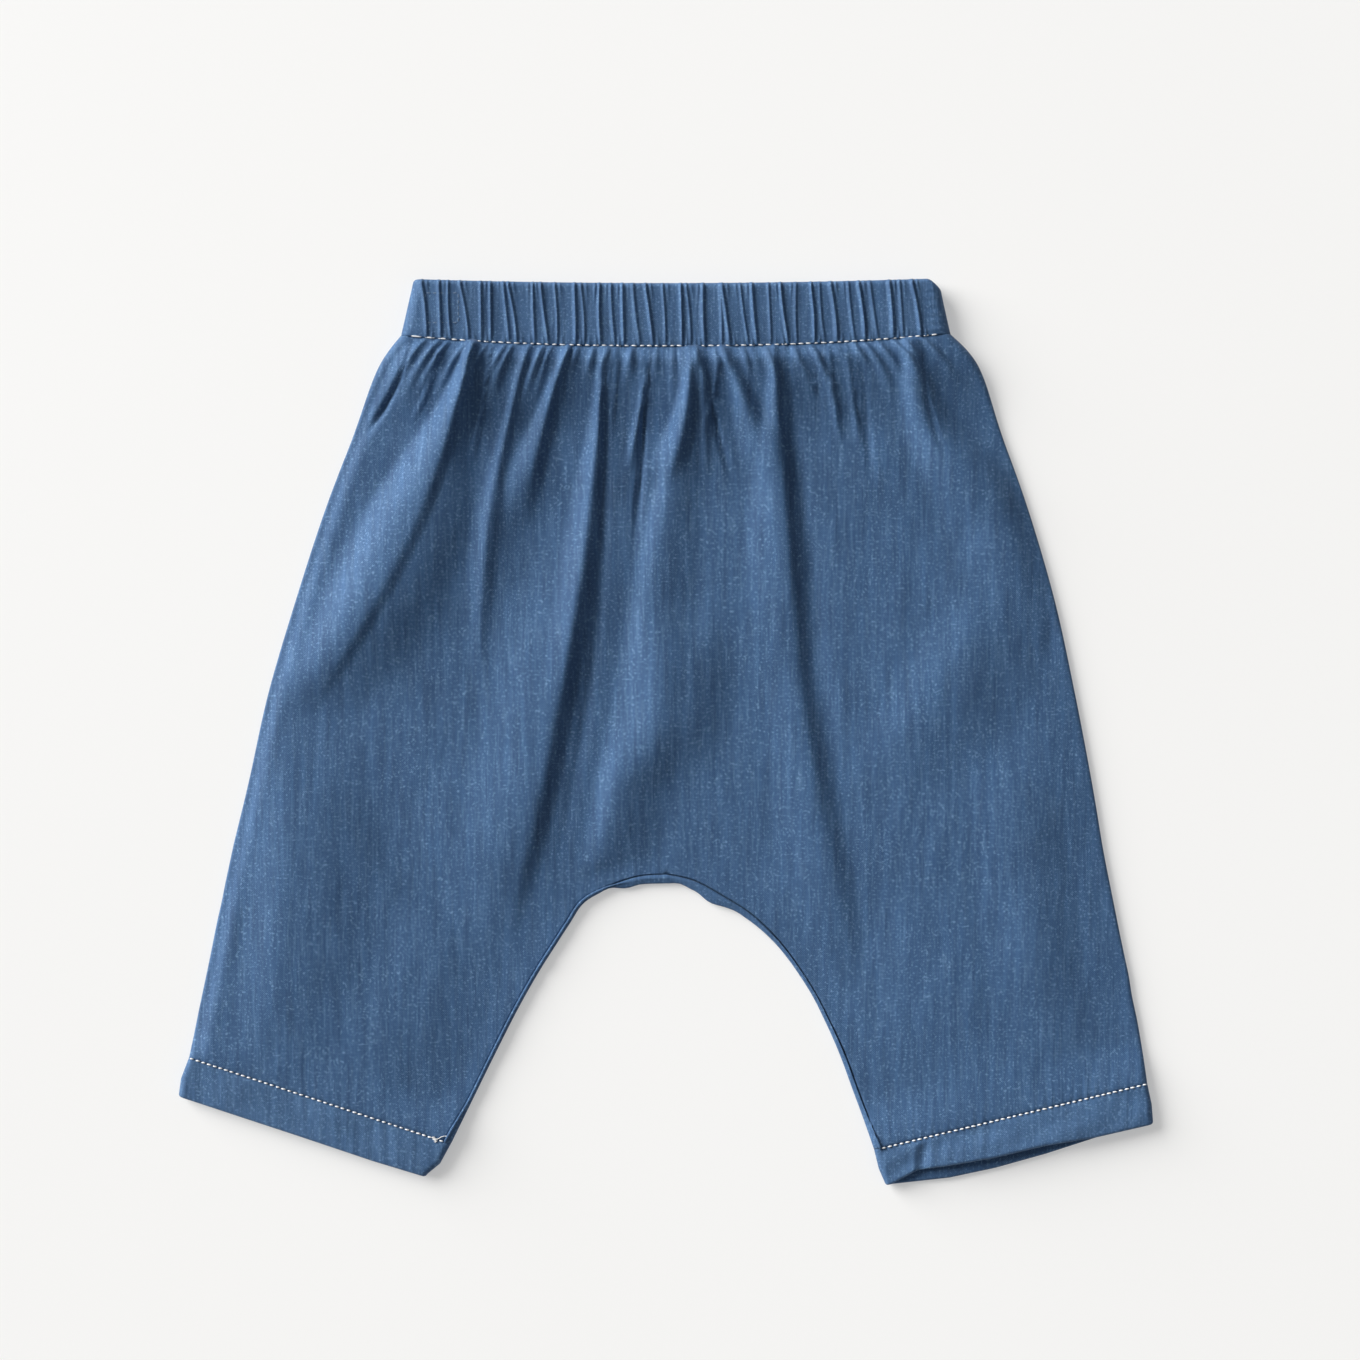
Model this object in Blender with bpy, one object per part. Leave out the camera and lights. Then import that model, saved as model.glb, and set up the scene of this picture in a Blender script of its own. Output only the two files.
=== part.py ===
"""Drop crotch pants for a small child, laid flat on their back.

X runs across the pants, +Y toward the waist and +Z up from the surface that they lie on.
Lengths are in metres. Each cut piece is a cloth wall of its own, and pieces that meet at
a seam keep GAP between them.
"""
import math
from collections import namedtuple

import bmesh
import bpy
from mathutils import Vector

# Cloth
WALL = 0.0010
GAP = 0.0003
SEAM = GAP / 2.0
LAYER = WALL + GAP

# Waist: a folded casing round a flat elastic
CASING_END_BOTTOM = (-0.1003, 0.1079)
CASING_END_TOP = (-0.0958, 0.1045)
CASING_SEAM_Y = 0.1465
CASING_SEAM_RISE = 0.0044
CASING_SEAM_POWER = 2.4
CASING_TOP_Y = 0.1704
CASING_TOP_RISE = 0.0018
CASING_CORNER = 0.0040
CASING_CORNER_START = 0.0985
CASING_CORNER_LENGTH = 0.0070
WAIST_REACH = 0.1035
ELASTIC_WIDTH = 0.0190
ELASTIC_BELOW_TOP = 0.0017
ELASTIC_ABOVE_SEAM = 0.0008

# Ribs that the elastic draws up in the casing
RIB_COUNT = 38
RIB_HEIGHT = 0.0009
RIB_HALF_WIDTH = 0.0011
RIB_JITTER = 0.22
RIB_SLANT = 0.0014
RIB_CLEAR_LEFT = 0.0040
RIB_CLEAR_RIGHT = 0.0060

# Columns across one half of a panel, fine by the waist and coarse below
FRONT_COLUMNS = 42
FRONT_STRIDE = 2
BACK_COLUMNS = 20
BACK_STRIDE = 2

# Small gathers under the casing, which fade as the cloth falls away
GATHER_COUNT = 28
GATHER_HEIGHT = 0.0010
GATHER_LENGTH = 0.0150
GATHER_UNEVEN = 0.45
GATHER_LENGTH_UNEVEN = 0.30
GATHER_RISE = 0.0040
TROUGH_DEPTH = 0.0013
TROUGH_PLACE = 0.0060
TROUGH_UNEVEN = 0.30

# How far the cloth takes to come down from the casing and the hems, to straighten out
# below the curved seam, and to lose its folds by the side and the inseam
WAIST_SLOPE = 0.0340
HEM_SLOPE = 0.0200
SEAM_CURVE_REACH = 0.0400
SIDE_FADE = 0.0100
INSEAM_CLEAR = 0.0040
INSEAM_FADE = 0.0080
STRIP_CLEAR = 0.0004

# Large folds: their greatest height, how they widen, and the shares of their length over
# which they start, swell and fade
FOLD_LIMIT = 0.0040
FOLD_WIDTHS = (0.75, 1.15)
FOLD_START = 0.05
FOLD_SWELL = 0.15
FOLD_FADE = 0.55
SLOPE_STEP = 0.0005

# A row for each section above the crotch, from the casing seam down
Upper = namedtuple("Upper", "centre_y side_rise left_x right_x")
UPPER = (
    Upper(0.1465, 0.0000, -0.1005, 0.1079),
    Upper(0.1340, 0.0005, -0.1091, 0.1186),
    Upper(0.1150, 0.0005, -0.1174, 0.1266),
    Upper(0.0850, 0.0000, -0.1292, 0.1376),
    Upper(0.0500, 0.0000, -0.1406, 0.1478),
    Upper(0.0150, 0.0000, -0.1509, 0.1554),
    Upper(-0.0200, 0.0020, -0.1582, 0.1617),
    Upper(-0.0570, 0.0150, -0.1640, 0.1657),
)
UPPER_STEPS = (4, 2, 2, 2, 2, 2, 2)
FINE_ROWS = 4

# A row for each section of a leg, from the crotch to the hem. The strip is how far the
# back panel shows in front of the seam line along the inseam.
Leg = namedtuple("Leg", "side_x side_y inseam_x inseam_y strip")
LEGS = {
    "left": (
        Leg(-0.1640, -0.0420, 0.0000, -0.0570, 0.0036),
        Leg(-0.1655, -0.0490, -0.0100, -0.0574, 0.0028),
        Leg(-0.1671, -0.0565, -0.0215, -0.0594, 0.0022),
        Leg(-0.1686, -0.0640, -0.0308, -0.0642, 0.0018),
        Leg(-0.1703, -0.0715, -0.0365, -0.0724, 0.0017),
        Leg(-0.1717, -0.0785, -0.0422, -0.0812, 0.0017),
        Leg(-0.1732, -0.0860, -0.0485, -0.0912, 0.0017),
        Leg(-0.1752, -0.0955, -0.0560, -0.1045, 0.0017),
        Leg(-0.1772, -0.1050, -0.0645, -0.1212, 0.0017),
        Leg(-0.1790, -0.1140, -0.0730, -0.1385, 0.0017),
        Leg(-0.1807, -0.1227, -0.0813, -0.1554, 0.0017),
    ),
    "right": (
        Leg(0.1657, -0.0420, 0.0000, -0.0570, 0.0036),
        Leg(0.1672, -0.0500, 0.0095, -0.0592, 0.0042),
        Leg(0.1690, -0.0590, 0.0200, -0.0648, 0.0044),
        Leg(0.1707, -0.0675, 0.0319, -0.0712, 0.0032),
        Leg(0.1722, -0.0750, 0.0433, -0.0817, 0.0025),
        Leg(0.1743, -0.0850, 0.0540, -0.0968, 0.0021),
        Leg(0.1758, -0.0920, 0.0606, -0.1095, 0.0020),
        Leg(0.1771, -0.1000, 0.0661, -0.1220, 0.0020),
        Leg(0.1792, -0.1100, 0.0705, -0.1340, 0.0020),
        Leg(0.1811, -0.1215, 0.0750, -0.1462, 0.0020),
        Leg(0.1826, -0.1326, 0.0790, -0.1577, 0.0020),
    ),
}
LEG_STEPS = (1, 1, 1, 1, 1, 1, 2, 2, 2, 2)
ROLL_ANGLES = (-90.0, -30.0, 30.0, 90.0)

# A row for each large fold of the front: three places on its crest, the reach of its two
# faces, the right one steeper where the light falls from the left, and its height
Fold = namedtuple("Fold", "top_x top_y mid_x mid_y end_x end_y left right height")
FOLDS = (
    Fold(-0.0935, 0.1467, -0.1068, 0.1189, -0.1258, 0.0733, 0.006, 0.007, 0.0014),
    Fold(-0.0752, 0.1455, -0.0866, 0.0999, -0.1201, 0.0429, 0.016, 0.008, 0.0030),
    Fold(-0.0600, 0.1455, -0.0661, 0.0961, -0.0692, 0.0250, 0.008, 0.006, 0.0018),
    Fold(-0.0365, 0.1455, -0.0460, 0.1113, -0.0555, 0.0733, 0.012, 0.007, 0.0022),
    Fold(-0.0228, 0.1450, -0.0334, 0.0581, -0.0593, -0.0445, 0.014, 0.009, 0.0034),
    Fold(0.0099, 0.1450, -0.0042, 0.0543, -0.0346, -0.0560, 0.011, 0.020, 0.0032),
    Fold(0.0418, 0.1450, 0.0483, 0.0657, 0.0654, -0.0597, 0.018, 0.009, 0.0032),
    Fold(0.0566, 0.1450, 0.0616, 0.1189, 0.0661, 0.0885, 0.007, 0.006, 0.0014),
    Fold(0.0699, 0.1455, 0.0745, 0.1227, 0.0830, 0.0900, 0.009, 0.006, 0.0016),
    Fold(0.0863, 0.1465, 0.0984, 0.1151, 0.1212, 0.0750, 0.012, 0.007, 0.0022),
    Fold(0.1003, 0.1474, 0.1148, 0.1151, 0.1307, 0.0657, 0.006, 0.007, 0.0014),
    Fold(-0.1277, -0.0027, -0.0897, -0.0445, -0.0745, -0.0939, 0.018, 0.018, 0.0016),
    Fold(0.1117, 0.0353, 0.0908, 0.0049, 0.0813, -0.0483, 0.014, 0.014, 0.0014),
    Fold(0.1497, -0.0255, 0.1535, -0.0825, 0.1592, -0.1205, 0.012, 0.010, 0.0012),
)

# Hems: how deep the band is in front and behind, by the share of its length from the
# side, and how its two ends draw in with depth
Depth = namedtuple("Depth", "along front back")
HEM_DEPTHS = {
    "left": (
        Depth(0.0, 0.0153, 0.0153),
        Depth(0.5, 0.0153, 0.0153),
        Depth(0.8, 0.0155, 0.0155),
        Depth(1.0, 0.0151, 0.0151),
    ),
    "right": (
        Depth(0.00, 0.0155, 0.0155),
        Depth(0.20, 0.0151, 0.0157),
        Depth(0.40, 0.0136, 0.0172),
        Depth(0.60, 0.0135, 0.0179),
        Depth(0.78, 0.0124, 0.0174),
        Depth(0.89, 0.0112, 0.0160),
        Depth(1.00, 0.0142, 0.0146),
    ),
}
End = namedtuple("End", "depth side inseam")
HEM_ENDS = {
    "left": (End(0.0, 0.0, 0.0), End(0.0095, -0.0004, 0.0016), End(0.0153, 0.0006, 0.0050)),
    "right": (End(0.0, 0.0, 0.0), End(0.0088, 0.0002, 0.0000), End(0.0155, 0.0012, 0.0010)),
}
HEM_LIFT = {"left": 0.0002, "right": 0.0016}
HEM_COLUMNS = 16
CASING_BACK_COLUMNS = 20
ARC_STEPS = 3
FOLD_STEPS = 3
ELASTIC_COLUMNS = 20

CHAMBRAY = (0.067, 0.125, 0.225, 1.0)
CHAMBRAY_ROUGHNESS = 0.85
ELASTIC_WHITE = (0.80, 0.79, 0.76, 1.0)
ELASTIC_ROUGHNESS = 0.70


def stack_half(layers):
    """Half the height of a flattened tube whose wall is that many layers of cloth."""
    return layers * WALL + (layers - 1) * GAP + SEAM


BODY_HALF = stack_half(1)
HEM_HALF = stack_half(2)
WAIST_HALF = stack_half(3)
CASING_RUN = CASING_END_BOTTOM[1] - CASING_END_BOTTOM[0] - 2.0 * WAIST_HALF


def ease(share):
    """A smooth step from 0 to 1."""
    share = min(1.0, max(0.0, share))
    return share * share * (3.0 - 2.0 * share)


def mix(a, b, share):
    return a + (b - a) * share


def table_row(rows, place):
    """The row at a place along a table, on a smooth curve through its rows."""
    last = len(rows) - 1
    index = min(int(place), last - 1)
    f = place - index
    before = rows[max(index - 1, 0)]
    start = rows[index]
    stop = rows[index + 1]
    after = rows[min(index + 2, last)]
    values = []
    for p, q, r, s in zip(before, start, stop, after):
        leave = (r - p) / 2.0
        arrive = (s - q) / 2.0
        bend = (2 * f ** 3 - 3 * f ** 2 + 1) * q + (3 * f ** 2 - 2 * f ** 3) * r
        values.append(bend + (f ** 3 - 2 * f ** 2 + f) * leave + (f ** 3 - f ** 2) * arrive)
    return type(start)(*values)


def look_up(rows, value, column):
    """A column's value where the table's first column has the given value."""
    for low, high in zip(rows, rows[1:]):
        if value <= high[0]:
            share = (value - low[0]) / (high[0] - low[0])
            return mix(getattr(low, column), getattr(high, column), max(0.0, share))
    return getattr(rows[-1], column)


def places(steps):
    """Places along a table, with some steps between each two rows."""
    found = [index + step / count for index, count in enumerate(steps) for step in range(count)]
    return found + [len(steps)]


def casing_seam_y(x):
    """The stitched line under the casing, lowest at the middle."""
    return CASING_SEAM_Y + CASING_SEAM_RISE * abs(x / WAIST_REACH) ** CASING_SEAM_POWER


def casing_top_y(x):
    """The folded top of the casing, with its right corner rounded off."""
    corner = CASING_CORNER * ease((x - CASING_CORNER_START) / CASING_CORNER_LENGTH)
    return CASING_TOP_Y + CASING_TOP_RISE * (x / WAIST_REACH) ** 2 - corner


def fold_height(x, y):
    """How far the large folds lift the front panel."""
    total = 0.0
    for fold in FOLDS:
        length = fold.top_y - fold.end_y
        t = (fold.top_y - y) / length
        if not -FOLD_START < t < 1.0:
            continue
        middle = (fold.top_y - fold.mid_y) / length
        from_top = (t - middle) * (t - 1.0) / middle
        at_middle = t * (1.0 - t) / (middle * (1.0 - middle))
        from_end = t * (t - middle) / (1.0 - middle)
        crest = from_top * fold.top_x + at_middle * fold.mid_x + from_end * fold.end_x
        reach = (fold.left if x < crest else fold.right) * mix(*FOLD_WIDTHS, t)
        across = abs(x - crest) / reach
        if across < 1.0:
            swell = ease((t + FOLD_START) / FOLD_SWELL) * ease((1.0 - t) / FOLD_FADE)
            total += fold.height * swell * (0.5 + 0.5 * math.cos(math.pi * across))
    return FOLD_LIMIT * math.tanh(total / FOLD_LIMIT)


def fold_slope(x, y):
    across = fold_height(x + SLOPE_STEP, y) - fold_height(x - SLOPE_STEP, y)
    down = fold_height(x, y + SLOPE_STEP) - fold_height(x, y - SLOPE_STEP)
    return math.hypot(across, down) / (2.0 * SLOPE_STEP)


def gather_height(share, drop):
    """Small gathers: ridges at every third column, uneven in height and length."""
    phase = share * GATHER_COUNT
    index = int(phase)
    peak = 1 / 3 if index % 2 else 2 / 3
    ridge = max(0.0, 1.0 - 3.0 * abs(phase - index - peak))
    uneven = 1.0 + GATHER_UNEVEN * math.sin(2.3 * index)
    length = GATHER_LENGTH * (1.0 + GATHER_LENGTH_UNEVEN * math.sin(1.7 * index + 1.0))
    swell = mix(0.4, 1.0, ease(drop / GATHER_RISE)) * ease(1.0 - drop / length)
    return GATHER_HEIGHT * uneven * ridge * swell


class Wall:
    """A cloth wall: an outer and an inner surface over the same rows, closed at its edges."""

    def __init__(self):
        self.bm = bmesh.new()
        self.pairs = {}
        self.edges = {}

    def pair(self, outer, inner):
        key = tuple(round(value, 7) for value in outer)
        if key not in self.pairs:
            self.pairs[key] = (self.bm.verts.new(outer), self.bm.verts.new(inner))
        return self.pairs[key]

    def strip(self, row, other):
        """Faces between two rows of keyed pairs. A row may lack keys that the other has."""
        shared = [key for key in row if key in other]
        for start, stop in zip(shared, shared[1:]):
            there = [row[key] for key in row if start <= key <= stop]
            back = [other[key] for key in other if start <= key <= stop]
            loop = there + back[::-1]
            self.bm.faces.new([pair[0] for pair in loop])
            self.bm.faces.new([pair[1] for pair in reversed(loop)])
            for pair, following in zip(loop, loop[1:] + loop[:1]):
                edge = frozenset((pair, following))
                self.edges.setdefault(edge, []).append((pair, following))

    def close(self):
        """Join the outer surface to the inner one along each open edge."""
        for uses in self.edges.values():
            if len(uses) == 1:
                start, stop = uses[0]
                self.bm.faces.new((stop[0], start[0], start[1], stop[1]))

    def finish(self, name, material):
        self.close()
        bmesh.ops.triangulate(self.bm, faces=[f for f in self.bm.faces if len(f.verts) > 4])
        bmesh.ops.recalc_face_normals(self.bm, faces=self.bm.faces)
        mesh = bpy.data.meshes.new(name)
        self.bm.to_mesh(mesh)
        self.bm.free()
        mesh.shade_smooth()
        mesh.set_sharp_from_angle(angle=math.radians(50.0))
        mesh.materials.append(material)
        thing = bpy.data.objects.new(name, mesh)
        pants.objects.link(thing)
        return thing


Station = namedtuple("Station", "outer inner inward half strip fine blend")


def arch(side):
    """The inseam's outline on one side, and the way into the cloth at each place."""
    rows = [table_row(LEGS[side], place) for place in places(LEG_STEPS)]
    points = [Vector((row.inseam_x, row.inseam_y)) for row in rows]
    turn = 1.0 if side == "left" else -1.0
    inward = [Vector((0.0, 1.0))]
    for before, after in zip(points, points[2:]):
        along = (after - before).normalized()
        inward.append(Vector((along.y * turn, -along.x * turn)))
    last = rows[-1]
    inward.append((Vector((last.side_x, last.side_y)) - points[-1]).normalized())
    return rows, points, inward


def stations(side):
    """Sections of one half, from the casing seam to the hem's stitching."""
    found = []
    for number, place in enumerate(places(UPPER_STEPS)[:-1]):
        row = table_row(UPPER, place)
        drop = UPPER[0].centre_y - row.centre_y
        outer = Vector((getattr(row, side + "_x"), row.centre_y + row.side_rise))
        half = mix(BODY_HALF, WAIST_HALF, ease(1.0 - drop / WAIST_SLOPE))
        blend = ease(1.0 - drop / SEAM_CURVE_REACH)
        centre = Vector((0.0, row.centre_y))
        found.append(Station(outer, centre, None, half, None, number <= FINE_ROWS, blend))
    rows, points, inward = arch(side)
    for row, point, way in zip(rows, points, inward):
        left_to_hem = (points[-1] - point).length
        half = mix(BODY_HALF, HEM_HALF, ease(1.0 - left_to_hem / HEM_SLOPE))
        strip = max(row.strip, half + STRIP_CLEAR)
        outer = Vector((row.side_x, row.side_y))
        found.append(Station(outer, point, way, half, strip, False, 0.0))
    return found


def seam_offset(x, station):
    """Near the waist a row follows the curve of the casing seam."""
    return (casing_seam_y(x) - CASING_SEAM_Y) * station.blend - SEAM * station.blend


def side_edge(wall, station, front):
    """The rounded side of the flattened tube, from the side seam to where the run starts."""
    half = station.half
    way = (station.inner - station.outer).normalized()
    row = {}
    for key, angle in ((-2, 0.0), (-1, 45.0)):
        rise = math.sin(math.radians(angle))
        level = math.cos(math.radians(angle))
        across = half * (1.0 - level)
        height = max(half + half * rise, half + SEAM)
        inside = across + WALL * min(level, 0.9)
        floor = max(height - WALL * rise, half + SEAM)
        points = []
        for distance, z in ((across, height), (inside, floor)):
            at = station.outer + way * distance
            up = z if front else 2.0 * half - z
            points.append((at.x, at.y + seam_offset(at.x, station), up))
        row[key] = wall.pair(*points)
    return row


def arch_distance(x, y, outline):
    return min(math.hypot(x - point.x, y - point.y) for point in outline)


def panel_run(station, columns, stride, end):
    """Keyed places across a half, from its rounded side to its centre or inseam."""
    start = station.outer + (station.inner - station.outer).normalized() * station.half
    step = 1 if station.fine else stride
    for key in range(0, columns + 1, step):
        at = start.lerp(end, key / columns)
        yield key, at.x, at.y + seam_offset(at.x, station)


def build_front(material, outline):
    """The front, in one piece with no centre seam, with its folds and gathers."""
    wall = Wall()
    for side in LEGS:
        previous = None
        for station in stations(side):
            end = station.inner
            if station.inward:
                end = end + station.inward * (station.strip + GAP)
            row = side_edge(wall, station, True)
            flat = 2.0 * station.half
            for key, x, y in panel_run(station, FRONT_COLUMNS, FRONT_STRIDE, end):
                from_side = abs(x - station.outer.x) - station.half
                fade = ease(from_side / SIDE_FADE)
                fade *= ease((arch_distance(x, y, outline) - INSEAM_CLEAR) / INSEAM_FADE)
                share = key / FRONT_COLUMNS / 2.0
                share = share if side == "left" else 1.0 - share
                drop = casing_seam_y(x) - y
                lift = fold_height(x, y) * fade + gather_height(share, drop) * fade
                thick = WALL * math.hypot(1.0, fold_slope(x, y) * fade)
                under = max(flat + lift - thick, flat - WALL)
                row[key] = wall.pair((x, y, flat + lift), (x, y, under))
            if previous:
                wall.strip(previous, row)
            previous = row
    return wall.finish("front_panel", material)


def inseam_roll(wall, station, row, first_key):
    """The back's edge turns up round the outline and over to the seam line on the front."""
    half = station.half
    sections = []
    for angle in ROLL_ANGLES:
        level = math.cos(math.radians(angle))
        rise = math.sin(math.radians(angle))
        inner = half - WALL
        sections.append((half - half * level, half + half * rise,
                         half - inner * level, half + inner * rise))
    sections.append((station.strip, 2.0 * half, station.strip, 2.0 * half - WALL))
    for number, (across, height, inside, level) in enumerate(sections):
        outer = station.inner + station.inward * across
        under = station.inner + station.inward * inside
        row[first_key + number] = wall.pair((outer.x, outer.y, height), (under.x, under.y, level))


def build_back(material):
    """The back, flat where it rests, with shallow troughs under the waist."""
    wall = Wall()
    for side in LEGS:
        previous = None
        for station in stations(side):
            end = station.inner
            if station.inward:
                end = end + station.inward * station.half
            row = side_edge(wall, station, False)
            room = 2.0 * (station.half - BODY_HALF)
            for key, x, y in panel_run(station, BACK_COLUMNS, BACK_STRIDE, end):
                drop = casing_seam_y(x) - y
                swell = math.exp(-((drop - TROUGH_PLACE) / TROUGH_PLACE) ** 2)
                trough = TROUGH_DEPTH * swell * (key % 2) * (1.0 + TROUGH_UNEVEN * math.sin(1.9 * key))
                rise = min(trough, room)
                row[key] = wall.pair((x, y, rise), (x, y, rise + WALL))
            if station.inward:
                inseam_roll(wall, station, row, BACK_COLUMNS)
            if previous:
                wall.strip(previous, row)
            previous = row
    return wall.finish("back_panel", material)


Level = namedtuple("Level", "inset inner_inset rise inner_rise climb")


def folded_levels(layers):
    """Levels up a cloth tube whose end is folded back inside it round some layers.

    climb runs from 0 at the stitched line to 1 where the fold starts, the insets say how
    far the outer and the inner surface lie inside the tube, and the rises how far past
    the start of the fold.
    """
    turn = (layers * WALL + (layers - 1) * GAP) / 2.0
    inner = turn - WALL
    levels = [Level(0.0, WALL, 0.0, 0.0, 0.0), Level(0.0, WALL, 0.0, 0.0, 0.5)]
    for step in range(FOLD_STEPS + 1):
        angle = math.pi * step / FOLD_STEPS
        across = math.cos(angle)
        up = math.sin(angle)
        levels.append(Level(turn - turn * across, turn - inner * across, turn * up, inner * up, 1.0))
    levels.append(Level(2.0 * turn, turn + inner, 0.0, 0.0, 0.0))
    return levels, turn


def flat_ring(wall, level, spans, half, place, front_keys, back_keys, raised):
    """One closed row round a flattened tube, as keyed pairs.

    spans gives the x of the tube's two ends, place turns a point of that level into the
    real one, and raised gives how far the outer surface is lifted at each front key.
    """
    row = {}

    def add(number, share, sine, cosine):
        points = []
        for inset, rise in ((level.inset, level.rise), (level.inner_inset, level.inner_rise)):
            radius = half - inset
            x = mix(spans[0] + half, spans[1] - half, share) - radius * cosine
            z = half + radius * sine
            if sine == 1.0 and not points:
                z += raised.get(share, 0.0)
            points.append(place(level.climb, rise, x, share, z))
        row[number] = wall.pair(*points)

    for share in front_keys:
        add(share, share, 1.0, 0.0)
    for step in range(1, ARC_STEPS):
        angle = math.pi * (0.5 - step / ARC_STEPS)
        add(1.0 + step / ARC_STEPS, 1.0, math.sin(angle), -math.cos(angle))
    for share in back_keys:
        add(2.0 + share, 1.0 - share, -1.0, 0.0)
    for step in range(1, ARC_STEPS):
        angle = math.pi * (-0.5 + step / ARC_STEPS)
        add(3.0 + step / ARC_STEPS, 0.0, math.sin(angle), math.cos(angle))
    row[4.0] = row[0.0]
    return row


CASING_LEVELS, CASING_TURN = folded_levels(3)
RIB_FADE = (0.0, 1.0, 1.0, 0.6, 0.3, 0.0, 0.0)


def casing_ribs():
    """The ribs' unevenly spaced places along the front run, each with its height."""
    first = RIB_CLEAR_LEFT / CASING_RUN
    last = 1.0 - RIB_CLEAR_RIGHT / CASING_RUN
    pitch = (last - first) / RIB_COUNT
    ribs = {}
    for number in range(RIB_COUNT):
        shift = RIB_JITTER * math.sin(2.4 * number + 0.6 * math.sin(1.1 * number))
        ribs[first + (number + 0.5 + shift) * pitch] = RIB_HEIGHT * (1.0 + 0.3 * math.sin(3.1 * number))
    return ribs


def casing_place(climb, rise, x, share, z):
    """A point of the casing, between its stitched seam and its folded top."""
    x -= RIB_SLANT * climb * math.sin(math.pi * share)
    fold_start = casing_top_y(x) - CASING_TURN
    return (x, mix(casing_seam_y(x) + SEAM, fold_start, climb) + rise, z)


def build_casing(material):
    """The turned-over casing: a folded ring, open at its bottom on the inside."""
    wall = Wall()
    ribs = casing_ribs()
    width = RIB_HALF_WIDTH / CASING_RUN
    coarse = [0.0, *ribs, 1.0]
    fine = sorted(coarse + [centre + way * width for centre in ribs for way in (-1.0, 1.0)])
    back = [number / CASING_BACK_COLUMNS for number in range(CASING_BACK_COLUMNS + 1)]
    previous = None
    for number, level in enumerate(CASING_LEVELS):
        ends = zip(CASING_END_BOTTOM, CASING_END_TOP)
        spans = [mix(bottom, top, level.climb) for bottom, top in ends]
        fade = RIB_FADE[number]
        raised = {share: height * fade for share, height in ribs.items()}
        keys = fine if number < len(RIB_FADE) - 2 else coarse
        row = flat_ring(wall, level, spans, WAIST_HALF, casing_place, keys, back, raised)
        if previous:
            wall.strip(previous, row)
        previous = row
    return wall.finish("waist_casing", material)


def elastic_place(climb, rise, x, share, z):
    """A point of the elastic, which lies just clear of the casing's fold and seam."""
    top = casing_top_y(x) - ELASTIC_BELOW_TOP
    bottom = max(top - ELASTIC_WIDTH, casing_seam_y(x) + ELASTIC_ABOVE_SEAM)
    return (x, mix(bottom, top, climb), z)


def build_elastic(material):
    """The flat elastic that lies in the casing all round."""
    wall = Wall()
    keys = [number / ELASTIC_COLUMNS for number in range(ELASTIC_COLUMNS + 1)]
    previous = None
    for climb, spans in ((0.0, CASING_END_BOTTOM), (1.0, CASING_END_TOP)):
        level = Level(LAYER, LAYER + WALL, 0.0, 0.0, climb)
        row = flat_ring(wall, level, spans, WAIST_HALF, elastic_place, keys, keys, {})
        if previous:
            wall.strip(previous, row)
        previous = row
    return wall.finish("waist_elastic", material)


def build_hem(side, material):
    """A turned-up hem: a folded ring below the leg's last row."""
    wall = Wall()
    leg = LEGS[side][-1]
    start = Vector((leg.side_x, leg.side_y))
    along = Vector((leg.inseam_x, leg.inseam_y)) - start
    length = along.length
    along.normalize()
    down = Vector((along.y, -along.x)) if side == "left" else Vector((-along.y, along.x))
    levels, turn = folded_levels(2)
    depths = HEM_DEPTHS[side]
    ends = HEM_ENDS[side]

    def place(climb, rise, x, share, z):
        """A point of the hem, deeper behind than in front where its mouth opens."""
        forward = min(1.0, z / (2.0 * HEM_HALF))
        depth = mix(look_up(depths, share, "back"), look_up(depths, share, "front"), forward)
        lift = HEM_LIFT[side] * math.sin(math.pi * share) * climb * (z > HEM_HALF)
        at = start + along * x + down * (mix(GAP, depth - turn, climb) + rise)
        return (at.x, at.y, z + lift)

    keys = [number / HEM_COLUMNS for number in range(HEM_COLUMNS + 1)]
    previous = None
    for level in levels:
        reach = level.climb * depths[0].front
        spans = (look_up(ends, reach, "side"), length - look_up(ends, reach, "inseam"))
        row = flat_ring(wall, level, spans, HEM_HALF, place, keys, keys, {})
        if previous:
            wall.strip(previous, row)
        previous = row
    return wall.finish(side + "_hem", material)


def cloth_material(name, colour, roughness):
    material = bpy.data.materials.new(name)
    material.use_nodes = True
    shader = material.node_tree.nodes["Principled BSDF"]
    shader.inputs["Base Color"].default_value = colour
    shader.inputs["Roughness"].default_value = roughness
    shader.inputs["Metallic"].default_value = 0.0
    material.diffuse_color = colour
    return material


def centre_on_floor(things):
    """Bring the middle of the whole outline to the origin, resting on z = 0."""
    points = [vertex.co for thing in things for vertex in thing.data.vertices]
    low = [min(point[axis] for point in points) for axis in range(3)]
    high = [max(point[axis] for point in points) for axis in range(3)]
    shift = Vector(((low[0] + high[0]) / -2.0, (low[1] + high[1]) / -2.0, -low[2]))
    for thing in things:
        for vertex in thing.data.vertices:
            vertex.co += shift


for thing in list(bpy.data.objects):
    bpy.data.objects.remove(thing)
pants = bpy.data.collections.new("drop_crotch_pants")
bpy.context.scene.collection.children.link(pants)

crotch_arch = [point for half_name in LEGS for point in arch(half_name)[1]]

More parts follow.
